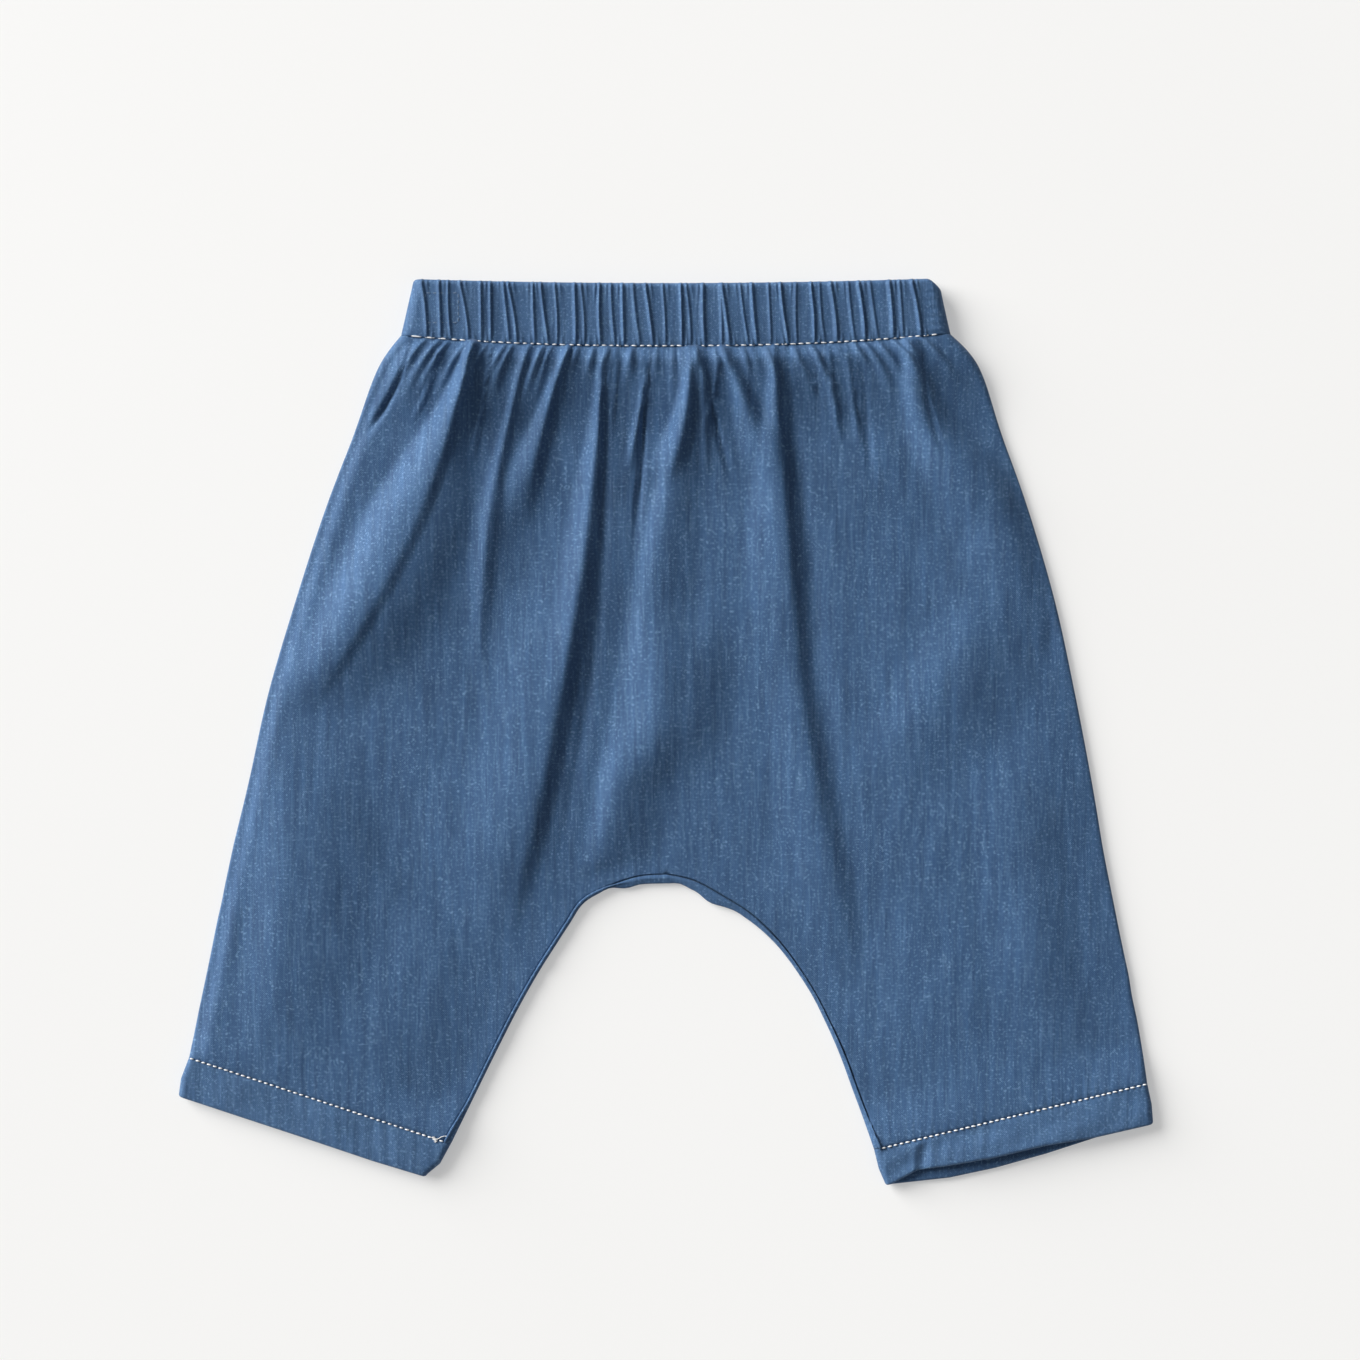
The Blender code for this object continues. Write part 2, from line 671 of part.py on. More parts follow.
pieces = [
    build_front(cloth_material("front_chambray", CHAMBRAY, CHAMBRAY_ROUGHNESS), crotch_arch),
    build_back(cloth_material("back_chambray", CHAMBRAY, CHAMBRAY_ROUGHNESS)),
    build_casing(cloth_material("casing_chambray", CHAMBRAY, CHAMBRAY_ROUGHNESS)),
    build_elastic(cloth_material("elastic_tape", ELASTIC_WHITE, ELASTIC_ROUGHNESS)),
    build_hem("left", cloth_material("left_hem_chambray", CHAMBRAY, CHAMBRAY_ROUGHNESS)),
    build_hem("right", cloth_material("right_hem_chambray", CHAMBRAY, CHAMBRAY_ROUGHNESS)),
]
centre_on_floor(pieces)
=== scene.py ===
"""The looks of a small child's drop crotch pants in chambray, laid flat on their back.

X runs across the pants, +Y toward the waist and +Z up from the surface that they lie on.
Lengths are in metres. Each cloth piece is a thin shell on the form of its rigid solid.
"""

import bisect
import math
import random
from collections import namedtuple

import bmesh
import bpy
from mathutils import Matrix, Vector, kdtree, noise


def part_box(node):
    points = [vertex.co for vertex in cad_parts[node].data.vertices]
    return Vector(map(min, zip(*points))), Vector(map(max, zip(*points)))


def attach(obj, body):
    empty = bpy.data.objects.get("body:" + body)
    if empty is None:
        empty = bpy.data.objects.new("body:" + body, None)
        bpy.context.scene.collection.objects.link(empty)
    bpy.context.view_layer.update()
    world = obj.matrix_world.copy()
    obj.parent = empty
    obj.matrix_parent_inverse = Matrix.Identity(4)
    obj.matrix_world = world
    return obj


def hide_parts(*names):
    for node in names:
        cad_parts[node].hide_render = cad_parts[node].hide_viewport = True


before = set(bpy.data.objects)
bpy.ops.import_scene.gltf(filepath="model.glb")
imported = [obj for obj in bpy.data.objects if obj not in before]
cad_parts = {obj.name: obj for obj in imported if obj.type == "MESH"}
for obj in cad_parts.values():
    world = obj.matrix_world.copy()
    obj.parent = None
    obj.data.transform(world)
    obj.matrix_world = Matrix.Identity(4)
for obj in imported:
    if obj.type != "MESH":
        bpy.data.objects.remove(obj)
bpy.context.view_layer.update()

# Cloth: the thickness of the shells, and the walls and gaps of the solids they stand for
CLOTH = 0.0005
WALL = 0.0010
GAP = 0.0003
SEAM = GAP / 2.0
LAYER = WALL + GAP
MERGE = 0.00002

# How an edge is tucked under its neighbour, and the groove that a row of stitches pulls in
TUCK = 0.0008
TUCK_DEPTH = 0.0006
GROOVE_DEPTH = 0.0003
GROOVE_WIDTH = 0.0012

# Waist: a folded casing round a flat elastic
CASING_END_BOTTOM = (-0.1003, 0.1079)
CASING_END_TOP = (-0.0958, 0.1045)
CASING_SEAM_Y = 0.1465
CASING_SEAM_RISE = 0.0044
CASING_SEAM_POWER = 2.4
CASING_TOP_Y = 0.1704
CASING_TOP_RISE = 0.0018
CASING_CORNER = 0.0040
CASING_CORNER_START = 0.0985
CASING_CORNER_LENGTH = 0.0070
WAIST_REACH = 0.1035
ELASTIC_WIDTH = 0.0190
ELASTIC_BELOW_TOP = 0.0017
ELASTIC_ABOVE_SEAM = 0.0008
ELASTIC_CORD = 0.00012

# How far the cloth takes to come down from the casing and the hems, to straighten out
# below the curved seam, and to lose its folds by the side and the inseam
WAIST_SLOPE = 0.0340
HEM_SLOPE = 0.0200
SEAM_CURVE_REACH = 0.0400
SIDE_FADES = {"left": 0.0048, "right": 0.0110}
INSEAM_CLEAR = 0.0035
INSEAM_FADE = 0.0100
STRIP_CLEAR = 0.00002

# A row for each section above the crotch, from the casing seam down
Upper = namedtuple("Upper", "centre_y side_rise left_x right_x")
UPPER = (
    Upper(0.1465, 0.0000, -0.1005, 0.1079),
    Upper(0.1340, 0.0005, -0.1091, 0.1186),
    Upper(0.1150, 0.0005, -0.1174, 0.1266),
    Upper(0.0850, 0.0000, -0.1292, 0.1376),
    Upper(0.0500, 0.0000, -0.1406, 0.1478),
    Upper(0.0150, 0.0000, -0.1509, 0.1554),
    Upper(-0.0200, 0.0020, -0.1582, 0.1617),
    Upper(-0.0570, 0.0150, -0.1640, 0.1657),
)
UPPER_STEPS = (14, 16, 20, 20, 20, 16, 16)
APPROACH_START = 5.0

# A row for each section of a leg, from the crotch to the hem. The strip is how far the
# back panel shows in front of the seam line along the inseam.
Leg = namedtuple("Leg", "side_x side_y inseam_x inseam_y strip")
LEGS = {
    "left": (
        Leg(-0.1640, -0.0420, 0.0000, -0.0570, 0.0036),
        Leg(-0.1655, -0.0490, -0.0100, -0.0574, 0.0032),
        Leg(-0.1671, -0.0565, -0.0215, -0.0594, 0.0014),
        Leg(-0.1686, -0.0640, -0.0308, -0.0642, 0.0011),
        Leg(-0.1703, -0.0715, -0.0365, -0.0724, 0.0011),
        Leg(-0.1717, -0.0785, -0.0422, -0.0812, 0.0011),
        Leg(-0.1732, -0.0860, -0.0485, -0.0912, 0.0011),
        Leg(-0.1752, -0.0955, -0.0560, -0.1045, 0.0011),
        Leg(-0.1772, -0.1050, -0.0645, -0.1212, 0.0011),
        Leg(-0.1790, -0.1140, -0.0730, -0.1385, 0.0011),
        Leg(-0.1807, -0.1227, -0.0813, -0.1554, 0.0011),
    ),
    "right": (
        Leg(0.1657, -0.0420, 0.0000, -0.0570, 0.0036),
        Leg(0.1672, -0.0500, 0.0095, -0.0592, 0.0036),
        Leg(0.1690, -0.0590, 0.0200, -0.0648, 0.0036),
        Leg(0.1707, -0.0675, 0.0319, -0.0712, 0.0025),
        Leg(0.1722, -0.0750, 0.0433, -0.0817, 0.0018),
        Leg(0.1743, -0.0850, 0.0540, -0.0968, 0.0016),
        Leg(0.1758, -0.0920, 0.0606, -0.1095, 0.0017),
        Leg(0.1771, -0.1000, 0.0661, -0.1220, 0.0020),
        Leg(0.1792, -0.1100, 0.0705, -0.1340, 0.0020),
        Leg(0.1811, -0.1215, 0.0750, -0.1462, 0.0020),
        Leg(0.1826, -0.1326, 0.0790, -0.1577, 0.0020),
    ),
}
LEG_STEPS = (5, 6, 6, 6, 5, 6, 8, 8, 8, 8)

# Columns of the fine grids
EDGE_COLUMNS = 4
FRONT_COLUMNS = 112
BACK_COLUMNS = 84
ROLL_STEPS = 10
STRIP_STEPS = 5

# How both edges turn down into the seam along the inseam: outward, down, and the value of
# wear and painted light, where less than nothing is painted shade in a deep crease
SEAM_TURN = ((0.00000, 0.00005, -0.2), (0.00010, 0.00030, -0.8), (0.00014, 0.00080, -1.0),
             (0.00010, 0.00120, -1.0))
TURN_STEPS = len(SEAM_TURN) - 1
STRIP_BULGE = 0.00035
PUCKER_PITCH = 0.0034

# Where the strip's edge swells or draws in by the crotch: its place, reach and how far out
Scallop = namedtuple("Scallop", "x reach out")
SCALLOPS = (
    Scallop(-0.0217, 0.0045, -0.0005),
    Scallop(-0.0148, 0.0055, 0.0008),
    Scallop(0.0048, 0.0055, -0.0009),
    Scallop(0.0170, 0.0060, 0.0011),
    Scallop(0.0262, 0.0050, -0.0004),
)

# A row for each fold of the front that hangs from the waist: three places on its crest,
# how far its left and right faces reach, and its height
Fold = namedtuple("Fold", "top_x top_y mid_x mid_y end_x end_y left right height")
FOLDS = (
    Fold(-0.0730, 0.1448, -0.0832, 0.1094, -0.1391, 0.0049, 0.0251, 0.0061, 0.0066),
    Fold(-0.0730, 0.1448, -0.0836, 0.1056, -0.1315, 0.0011, 0.0274, 0.0236, 0.0056),
    Fold(-0.0517, 0.1448, -0.0638, 0.0969, -0.0714, 0.0163, 0.0076, 0.0057, 0.0021),
    Fold(-0.0540, 0.1448, -0.0646, 0.0969, -0.0692, 0.0125, 0.0030, 0.0274, 0.0018),
    Fold(-0.0372, 0.1448, -0.0464, 0.1151, -0.0562, 0.0733, 0.0160, 0.0076, 0.0042),
    Fold(-0.0239, 0.1448, -0.0285, 0.0885, -0.0448, -0.0103, 0.0099, 0.0061, 0.0032),
    Fold(-0.0228, 0.1448, -0.0281, 0.0885, -0.0418, -0.0027, 0.0046, 0.0243, 0.0018),
    Fold(-0.0057, 0.1448, -0.0099, 0.1208, -0.0148, 0.0942, 0.0049, 0.0030, 0.0022),
    Fold(-0.0179, 0.1448, -0.0190, 0.1322, -0.0209, 0.1132, 0.0030, 0.0023, 0.0014),
    Fold(0.0091, 0.1448, 0.0084, 0.1227, -0.0008, 0.0923, 0.0167, 0.0053, 0.0038),
    Fold(0.0091, 0.1448, 0.0084, 0.1227, -0.0008, 0.0923, 0.0198, 0.0570, 0.0030),
    Fold(0.0106, 0.1448, -0.0027, 0.0695, -0.0205, -0.0445, 0.0091, 0.0198, 0.0030),
    Fold(0.0205, 0.1448, 0.0179, 0.1284, 0.0144, 0.1113, 0.0057, 0.0023, 0.0022),
    Fold(0.0220, 0.1448, 0.0289, 0.1265, 0.0410, 0.0923, 0.0175, 0.0228, 0.0048),
    Fold(0.0410, 0.1448, 0.0426, 0.1075, 0.0509, 0.0125, 0.0182, 0.0099, 0.0042),
    Fold(0.0144, 0.1448, 0.0148, 0.1151, 0.0160, 0.0923, 0.0042, 0.0034, 0.0018),
    Fold(0.0616, 0.1448, 0.0631, 0.1303, 0.0669, 0.1075, 0.0046, 0.0027, 0.0020),
    Fold(0.0684, 0.1448, 0.0703, 0.1284, 0.0745, 0.1056, 0.0038, 0.0027, 0.0018),
    Fold(0.0920, 0.1448, 0.0980, 0.1189, 0.1307, 0.0733, 0.0213, 0.0342, 0.0044),
    Fold(-0.0859, 0.1448, -0.0889, 0.1322, -0.0965, 0.1170, 0.0061, 0.0030, 0.0014),
    Fold(-0.0661, 0.1448, -0.0692, 0.1265, -0.0737, 0.0999, 0.0038, 0.0030, 0.0020),
)

# Valleys between those folds, with a negative height
CREASES = (
    Fold(-0.0965, 0.1448, -0.1026, 0.1303, -0.1163, 0.1094, 0.0053, 0.0053, -0.0024),
    Fold(-0.0228, 0.1372, -0.0243, 0.0733, -0.0448, -0.0654, 0.0023, 0.0046, -0.0012),
    Fold(-0.0065, 0.1448, -0.0084, 0.1151, -0.0129, 0.0657, 0.0019, 0.0034, -0.0020),
    Fold(0.0122, 0.1448, 0.0114, 0.1227, 0.0061, 0.0923, 0.0030, 0.0034, -0.0014),
    Fold(0.0152, 0.1448, 0.0182, 0.1197, 0.0270, 0.0923, 0.0030, 0.0030, -0.0024),
    Fold(0.0464, 0.1379, 0.0509, 0.0657, 0.0669, -0.0635, 0.0046, 0.0106, -0.0013),
    Fold(0.0559, 0.1448, 0.0570, 0.1322, 0.0593, 0.1151, 0.0015, 0.0019, -0.0014),
    Fold(0.0737, 0.1448, 0.0760, 0.1189, 0.0783, 0.0885, 0.0027, 0.0030, -0.0009),
    Fold(0.0969, 0.1448, 0.0999, 0.1208, 0.1079, 0.0999, 0.0023, 0.0030, -0.0012),
)

# Folds and hollows that start below the waist and fade at both ends
LOOSE_FOLDS = (
    Fold(-0.0281, 0.0961, -0.0388, 0.0239, -0.0631, -0.0863, 0.0319, 0.0068, 0.0044),
    Fold(-0.0030, 0.0543, 0.0004, 0.0247, -0.0099, -0.0255, 0.0160, 0.0289, 0.0060),
    Fold(-0.0137, 0.0125, -0.0179, -0.0179, -0.0266, -0.0597, 0.0099, 0.0228, 0.0032),
    Fold(0.0433, 0.0543, 0.0555, -0.0141, 0.0692, -0.0977, 0.0213, 0.0099, 0.0028),
    Fold(0.1284, 0.0657, 0.1060, 0.0201, 0.0775, -0.0293, 0.0228, 0.0418, 0.0022),
    Fold(0.1117, 0.1189, 0.1231, 0.0885, 0.1391, 0.0391, 0.0236, 0.0266, 0.0024),
    Fold(-0.1391, 0.0163, -0.1429, -0.0521, -0.1497, -0.1357, 0.0175, 0.0418, 0.0033),
    Fold(0.1315, 0.0125, 0.1383, -0.0559, 0.1459, -0.1319, 0.0228, 0.0190, 0.0020),
    Fold(-0.1201, -0.0160, -0.0935, -0.0502, -0.0688, -0.0844, 0.0228, 0.0266, -0.0017),
    Fold(-0.0836, 0.1189, -0.1011, 0.0752, -0.1391, 0.0068, 0.0167, 0.0570, 0.0050),
    Fold(0.1528, 0.0657, 0.1482, 0.0460, 0.1459, 0.0247, 0.0046, 0.0053, -0.0012),
)

# How high folds may add up, how narrow and low they start at the waist, how far they take
# to widen and rise, and how much of their length they fade over
FOLD_LIMIT = 0.0125
FOLD_NARROW = 0.18
FOLD_WIDENING = 0.0850
FOLD_LOW = 0.35
FOLD_SWELL = 0.0300
FOLD_FADE = 0.45
LOOSE_FADE = 0.40

# How far each leg puffs up between its side and its inseam, and how deep a dip may be
PUFF = 0.0026
PUFF_REACHES = {"left": 0.0070, "right": 0.0800}
PUFF_INSEAM_REACH = 0.0480
DIP_LIMIT = 0.0006
DIP_SOFTNESS = 0.0003

# Slow and quick unevenness of the cloth as it lies: pitch and height
DRIFT_PITCH = 0.0450
DRIFT_HEIGHT = 0.0009
WRINKLE_PITCH = 0.0120
WRINKLE_HEIGHT = 0.00022
CRINKLE_PITCH = 0.0046
CRINKLE_HEIGHT = 0.00011
BACK_RISE = 0.0006

# Ribs that the elastic draws up in the casing, and the gathers that go on below each
RIB_COUNT = 38
RIB_HEIGHT = 0.0009
RIB_LEFT = 0.0014
RIB_RIGHT = 0.0007
RIB_LEAN = (0.0002, 0.0034)
RIB_JITTER = 0.22
RIB_FOOT = 0.35
RIB_FOOT_REACH = 0.16
RIB_LOSS_OVER = 0.75
FORKS = ((1.0, 0.66), (0.0, 0.30))
FORK_ASIDE = 1.3
FORK_HEIGHT = 0.45
FORK_REACH = 0.6
BAND_SLACK = 0.0005
BAND_SLACK_PITCH = 0.0110
CASING_UNDER = 0.0008
UNDER_RIB_SHARE = 0.4
TOP_RIB_SHARE = 0.35
END_CREASE_X = 0.1015
END_CREASE_REACH = 0.0055
END_CREASE_HEIGHT = 0.00035
END_CREASE_PITCH = 0.0031
RIB_CLEAR_LEFT = 0.0040
RIB_CLEAR_RIGHT = 0.0060
GATHER_HEIGHT = 0.0019
GATHER_WIDTH = 0.0014
GATHER_SPREAD = 0.13
GATHER_LENGTHS = (0.010, 0.042)
GATHER_RISE = 0.0030
WAIST_HOLD = 0.0060
HEM_HOLD = 0.0200

# Puckers that stand up from the hems' stitches, and the patches in which they pull
PUCKER_HEIGHT = 0.00028
PUCKER_LENGTH = 0.0110
PUCKER_SPACING = 0.0033
PUCKER_PATCH = 0.0210

# Hems: how deep the band is in front and behind, by the share of its length from the
# side, and how its two ends draw in with depth
Depth = namedtuple("Depth", "along front back")
HEM_DEPTHS = {
    "left": (
        Depth(0.0, 0.0153, 0.0153),
        Depth(0.5, 0.0153, 0.0153),
        Depth(0.8, 0.0155, 0.0155),
        Depth(1.0, 0.0151, 0.0151),
    ),
    "right": (
        Depth(0.00, 0.0155, 0.0155),
        Depth(0.20, 0.0151, 0.0157),
        Depth(0.40, 0.0136, 0.0172),
        Depth(0.60, 0.0135, 0.0179),
        Depth(0.78, 0.0124, 0.0174),
        Depth(0.89, 0.0112, 0.0160),
        Depth(1.00, 0.0142, 0.0146),
    ),
}
End = namedtuple("End", "depth side inseam")
HEM_ENDS = {
    "left": (End(0.0, 0.0, 0.0), End(0.0095, -0.0004, 0.0016), End(0.0153, 0.0006, 0.0050)),
    "right": (End(0.0, 0.0, 0.0), End(0.0088, 0.0002, 0.0000), End(0.0155, 0.0012, 0.0010)),
}
HEM_LIFT = {"left": 0.0002, "right": 0.0016}

# The hems' slack, the rope-like twist of their folds, and a dent in the right one
HEM_SLACK = 0.0006
HEM_SLACK_PITCH = 0.0160
ROPE_HEIGHT = 0.00006
ROPE_PITCH = 0.0062
ROPE_ASKEW = 0.0060
DENT_HEIGHT = 0.0009
DENT_X = 0.0875
DENT_REACH = 0.0035

# Thread
STITCH_WIDTH = 0.00062
STITCH_RISE = 0.00052
HEM_STITCH_PITCH = 0.0023
HEM_STITCH_LENGTH = 0.0017
CASING_STITCH_PITCH = 0.0030
CASING_STITCH_LENGTH = 0.0023
STITCH_PROUD = 0.0002
STITCH_CLEAR = 0.00002
TACK_PITCH = 0.0024
TACK_STITCH_LENGTH = 0.0019

# Light: low and soft from the top left, as from a wide window
WINDOW_FROM = (-0.86, 0.51, 0.375)
WINDOW_SPREAD = 46.0
WINDOW_STRENGTH = 6.1
SKY_STRENGTH = 0.19
# The surface's own glow, though it is no lamp, which lightens the shadows cast on it
FLOOR_GLOW = 0.35
FLOOR_REACH = 12.0
FLOOR_BELOW = 0.0003

# The photographed view: a square picture from straight above
VIEW_CENTRE = (0.0053, 0.0201)
VIEW_WIDTH = 0.5168
CAMERA_HEIGHT = 1.20


def stack_half(layers):
    """Half the height of a flattened tube whose wall is that many layers of cloth."""
    return layers * WALL + (layers - 1) * GAP + SEAM


BODY_HALF = stack_half(1)
HEM_HALF = stack_half(2)
WAIST_HALF = stack_half(3)
CASING_RUN = CASING_END_BOTTOM[1] - CASING_END_BOTTOM[0] - 2.0 * WAIST_HALF

# The solids are centred on their outline, which moves them a little from the tables
SHIFT = Vector((
    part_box("back_panel")[0].x - LEGS["left"][-1].side_x,
    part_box("back_panel")[0].y - LEGS["right"][-1].inseam_y,
    0.0,
))


def ease(share):
    """A smooth step from 0 to 1."""
    share = min(1.0, max(0.0, share))
    return share * share * (3.0 - 2.0 * share)


def swell_from(share):
    """A rise from 0 that starts steep and ends level at 1."""
    return 1.0 - (1.0 - min(1.0, max(0.0, share))) ** 2


def mix(a, b, share):
    return a + (b - a) * share


def bell(distance, reach):
    """1 at no distance, falling smoothly to 0 at the reach."""
    if abs(distance) >= reach:
        return 0.0
    return 0.5 + 0.5 * math.cos(math.pi * distance / reach)


def table_row(rows, place):
    """The row at a place along a table, on a smooth curve through its rows."""
    last = len(rows) - 1
    index = min(int(place), last - 1)
    f = place - index
    before = rows[max(index - 1, 0)]
    start = rows[index]
    stop = rows[index + 1]
    after = rows[min(index + 2, last)]
    values = []
    for p, q, r, s in zip(before, start, stop, after):
        leave = (r - p) / 2.0
        arrive = (s - q) / 2.0
        bend = (2 * f ** 3 - 3 * f ** 2 + 1) * q + (3 * f ** 2 - 2 * f ** 3) * r
        values.append(bend + (f ** 3 - 2 * f ** 2 + f) * leave + (f ** 3 - f ** 2) * arrive)
    return type(start)(*values)


def look_up(rows, value, column):
    """A column's value where the table's first column has the given value."""
    for low, high in zip(rows, rows[1:]):
        if value <= high[0]:
            share = (value - low[0]) / (high[0] - low[0])
            return mix(getattr(low, column), getattr(high, column), max(0.0, share))
    return getattr(rows[-1], column)


def places(steps):
    """Places along a table, with some steps between each two rows."""
    found = [index + step / count for index, count in enumerate(steps) for step in range(count)]
    return found + [len(steps)]


def casing_seam_y(x):
    """The stitched line under the casing, lowest at the middle."""
    return CASING_SEAM_Y + CASING_SEAM_RISE * abs(x / WAIST_REACH) ** CASING_SEAM_POWER


def casing_top_y(x):
    """The folded top of the casing, with its right corner rounded off."""
    corner = CASING_CORNER * ease((x - CASING_CORNER_START) / CASING_CORNER_LENGTH)
    return CASING_TOP_Y + CASING_TOP_RISE * (x / WAIST_REACH) ** 2 - corner


def folds_at(rows, x, y, drop):
    """The sum of the folds in a table at a place. Folds that hang from the waist, at a
    drop below its seam, start narrow there, and the others fade at both ends."""
    total = 0.0
    for fold in rows:
        length = fold.top_y - fold.end_y
        t = (fold.top_y - y) / length
        if t >= 1.0 or (t <= 0.0 and drop is None):
            continue
        middle = (fold.top_y - fold.mid_y) / length
        from_top = (t - middle) * (t - 1.0) / middle
        at_middle = t * (1.0 - t) / (middle * (1.0 - middle))
        from_end = t * (t - middle) / (1.0 - middle)
        crest = from_top * fold.top_x + at_middle * fold.mid_x + from_end * fold.end_x
        reach = fold.left if x < crest else fold.right
        if drop is None:
            swell = ease(t / LOOSE_FADE) * ease((1.0 - t) / LOOSE_FADE)
        else:
            reach *= mix(FOLD_NARROW, 1.0, ease(drop / FOLD_WIDENING))
            swell = mix(FOLD_LOW, 1.0, ease(drop / FOLD_SWELL)) * ease((1.0 - t) / FOLD_FADE)
        total += fold.height * swell * bell(x - crest, reach)
    return total


def unevenness(x, y, layer):
    """How cloth that lies loosely is never quite flat."""
    slow = noise.noise(Vector((x / DRIFT_PITCH, y / DRIFT_PITCH, layer)))
    quick = noise.noise(Vector((x / WRINKLE_PITCH, y / (2.0 * WRINKLE_PITCH), layer + 7.0)))
    fine = noise.noise(Vector((x / CRINKLE_PITCH, y / (3.0 * CRINKLE_PITCH), layer + 19.0)))
    return DRIFT_HEIGHT * slow + WRINKLE_HEIGHT * quick + CRINKLE_HEIGHT * fine


def hem_pucker(x, y, to_hem):
    """Short puckers that stand up from the hem's stitches where they pull."""
    pull = max(0.0, 0.3 + noise.noise(Vector((x / PUCKER_PATCH, y / PUCKER_PATCH, 31.0))))
    wave = math.sin(2.0 * math.pi * x / PUCKER_SPACING)
    return PUCKER_HEIGHT * pull * ease(1.0 - to_hem / PUCKER_LENGTH) * wave


def soft_floor(height):
    """Keep a dip from reaching the cloth below."""
    over = (height + DIP_LIMIT) / DIP_SOFTNESS
    if over > 20.0:
        return height
    return DIP_SOFTNESS * math.log1p(math.exp(over)) - DIP_LIMIT


Rib = namedtuple("Rib", "x share height width lean sway gather length")


def make_ribs():
    """The ribs' unevenly spaced places along the waist, each with its own shape."""
    chance = random.Random(11)
    first = RIB_CLEAR_LEFT / CASING_RUN
    last = 1.0 - RIB_CLEAR_RIGHT / CASING_RUN
    pitch = (last - first) / RIB_COUNT
    ribs = []
    for number in range(RIB_COUNT):
        shift = RIB_JITTER * math.sin(2.4 * number + 0.6 * math.sin(1.1 * number))
        share = first + (number + 0.5 + shift) * pitch
        x = CASING_END_BOTTOM[0] + WAIST_HALF + share * CASING_RUN
        height = RIB_HEIGHT * (1.0 + 0.3 * math.sin(3.1 * number))
        width = chance.uniform(0.7, 1.25)
        lean = chance.uniform(*RIB_LEAN)
        sway = chance.uniform(-0.0005, 0.0005)
        gather = GATHER_HEIGHT * chance.uniform(0.25, 1.2)
        ribs.append(Rib(x, share, height, width, lean, sway, gather, chance.uniform(*GATHER_LENGTHS)))
    return ribs


RIBS = make_ribs()
RIB_SHARES = [rib.share for rib in RIBS]
RIB_PLACES = [rib.x for rib in RIBS]


def ribs_near(share):
    """The two or three ribs on each side of a place."""
    index = bisect.bisect(RIB_SHARES, share)
    return RIBS[max(0, index - 2):index + 2]


def gather_height(side, share, drop):
    """Gathers go on below each rib, widen and fade as the cloth falls away. The share runs
    from the side to the middle."""
    if drop >= GATHER_LENGTHS[1]:
        return 0.0
    across = share / 2.0 if side == "left" else 1.0 - share / 2.0
    width = UPPER[0].right_x - UPPER[0].left_x
    total = 0.0
    for rib in ribs_near(across):
        reach = (GATHER_WIDTH + GATHER_SPREAD * drop) * rib.width
        swell = mix(0.25, 1.0, ease(drop / GATHER_RISE)) * ease(1.0 - drop / rib.length)
        total += rib.gather * swell * bell((across - rib.share) * width, reach)
    return total


Section = namedtuple("Section", "outer inner inward half strip approach blend to_hem")


def arch(side):
    """The inseam's outline on one side, and the way into the cloth at each place."""
    rows = [table_row(LEGS[side], place) for place in places(LEG_STEPS)]
    points = [Vector((row.inseam_x, row.inseam_y)) for row in rows]
    turn = 1.0 if side == "left" else -1.0
    inward = [Vector((0.0, 1.0))]
    for before, after in zip(points, points[2:]):
        along = (after - before).normalized()
        inward.append(Vector((along.y * turn, -along.x * turn)))
    last = rows[-1]
    inward.append((Vector((last.side_x, last.side_y)) - points[-1]).normalized())
    return rows, points, inward


def make_sections(side):
    """Sections of the body and one leg, from the casing seam down to the hem's stitching."""
    found = []
    end_place = len(UPPER) - 1
    for place in places(UPPER_STEPS)[:-1]:
        row = table_row(UPPER, place)
        drop = UPPER[0].centre_y - row.centre_y
        outer = Vector((getattr(row, side + "_x"), row.centre_y + row.side_rise))
        half = mix(BODY_HALF, WAIST_HALF, ease(1.0 - drop / WAIST_SLOPE))
        approach = ease((place - APPROACH_START) / (end_place - APPROACH_START))
        blend = ease(1.0 - drop / SEAM_CURVE_REACH)
        centre = Vector((0.0, row.centre_y))
        up = Vector((0.0, 1.0))
        strip = LEGS[side][0].strip
        found.append(Section(outer, centre, up, half, strip, approach, blend, 1.0))
    rows, points, inward = arch(side)
    for row, point, way in zip(rows, points, inward):
        to_hem = (points[-1] - point).length
        half = mix(BODY_HALF, HEM_HALF, ease(1.0 - to_hem / HEM_SLOPE))
        strip = max(row.strip, half + STRIP_CLEAR)
        outer = Vector((row.side_x, row.side_y))
        found.append(Section(outer, point, way, half, strip, 1.0, 0.0, to_hem))
    return found


SECTIONS = {side: make_sections(side) for side in LEGS}
LEG_ROWS = sum(LEG_STEPS)
SECTION_ROWS = len(SECTIONS["left"]) - 1
OUTLINE = [section.inner for side in LEGS for section in SECTIONS[side][-LEG_ROWS - 1:]]
INSEAM = kdtree.KDTree(len(OUTLINE))
for number, point in enumerate(OUTLINE):
    INSEAM.insert(point.to_3d(), number)
INSEAM.balance()


def seam_offset(x, section):
    """Near the waist a row follows the curve of the casing seam."""
    return (casing_seam_y(x) - CASING_SEAM_Y) * section.blend - SEAM * section.blend


def run_place(section, reach, share):
    """A place on a section's run, from the rounded side to a reach inside the inner end."""
    end = section.inner + section.inward * reach * section.approach
    way = (section.inner - section.outer).normalized()
    at = (section.outer + way * section.half).lerp(end, share)
    return at.x, at.y + seam_offset(at.x, section)


def edge_place(section, angle):
    """A place on the rounded side, with how high its curve stands there."""
    way = (section.inner - section.outer).normalized()
    at = section.outer + way * section.half * (1.0 - math.cos(angle))
    return at.x, at.y + seam_offset(at.x, section), section.half * math.sin(angle)


def groove(distance):
    return GROOVE_DEPTH * math.exp(-(distance / GROOVE_WIDTH) ** 2)


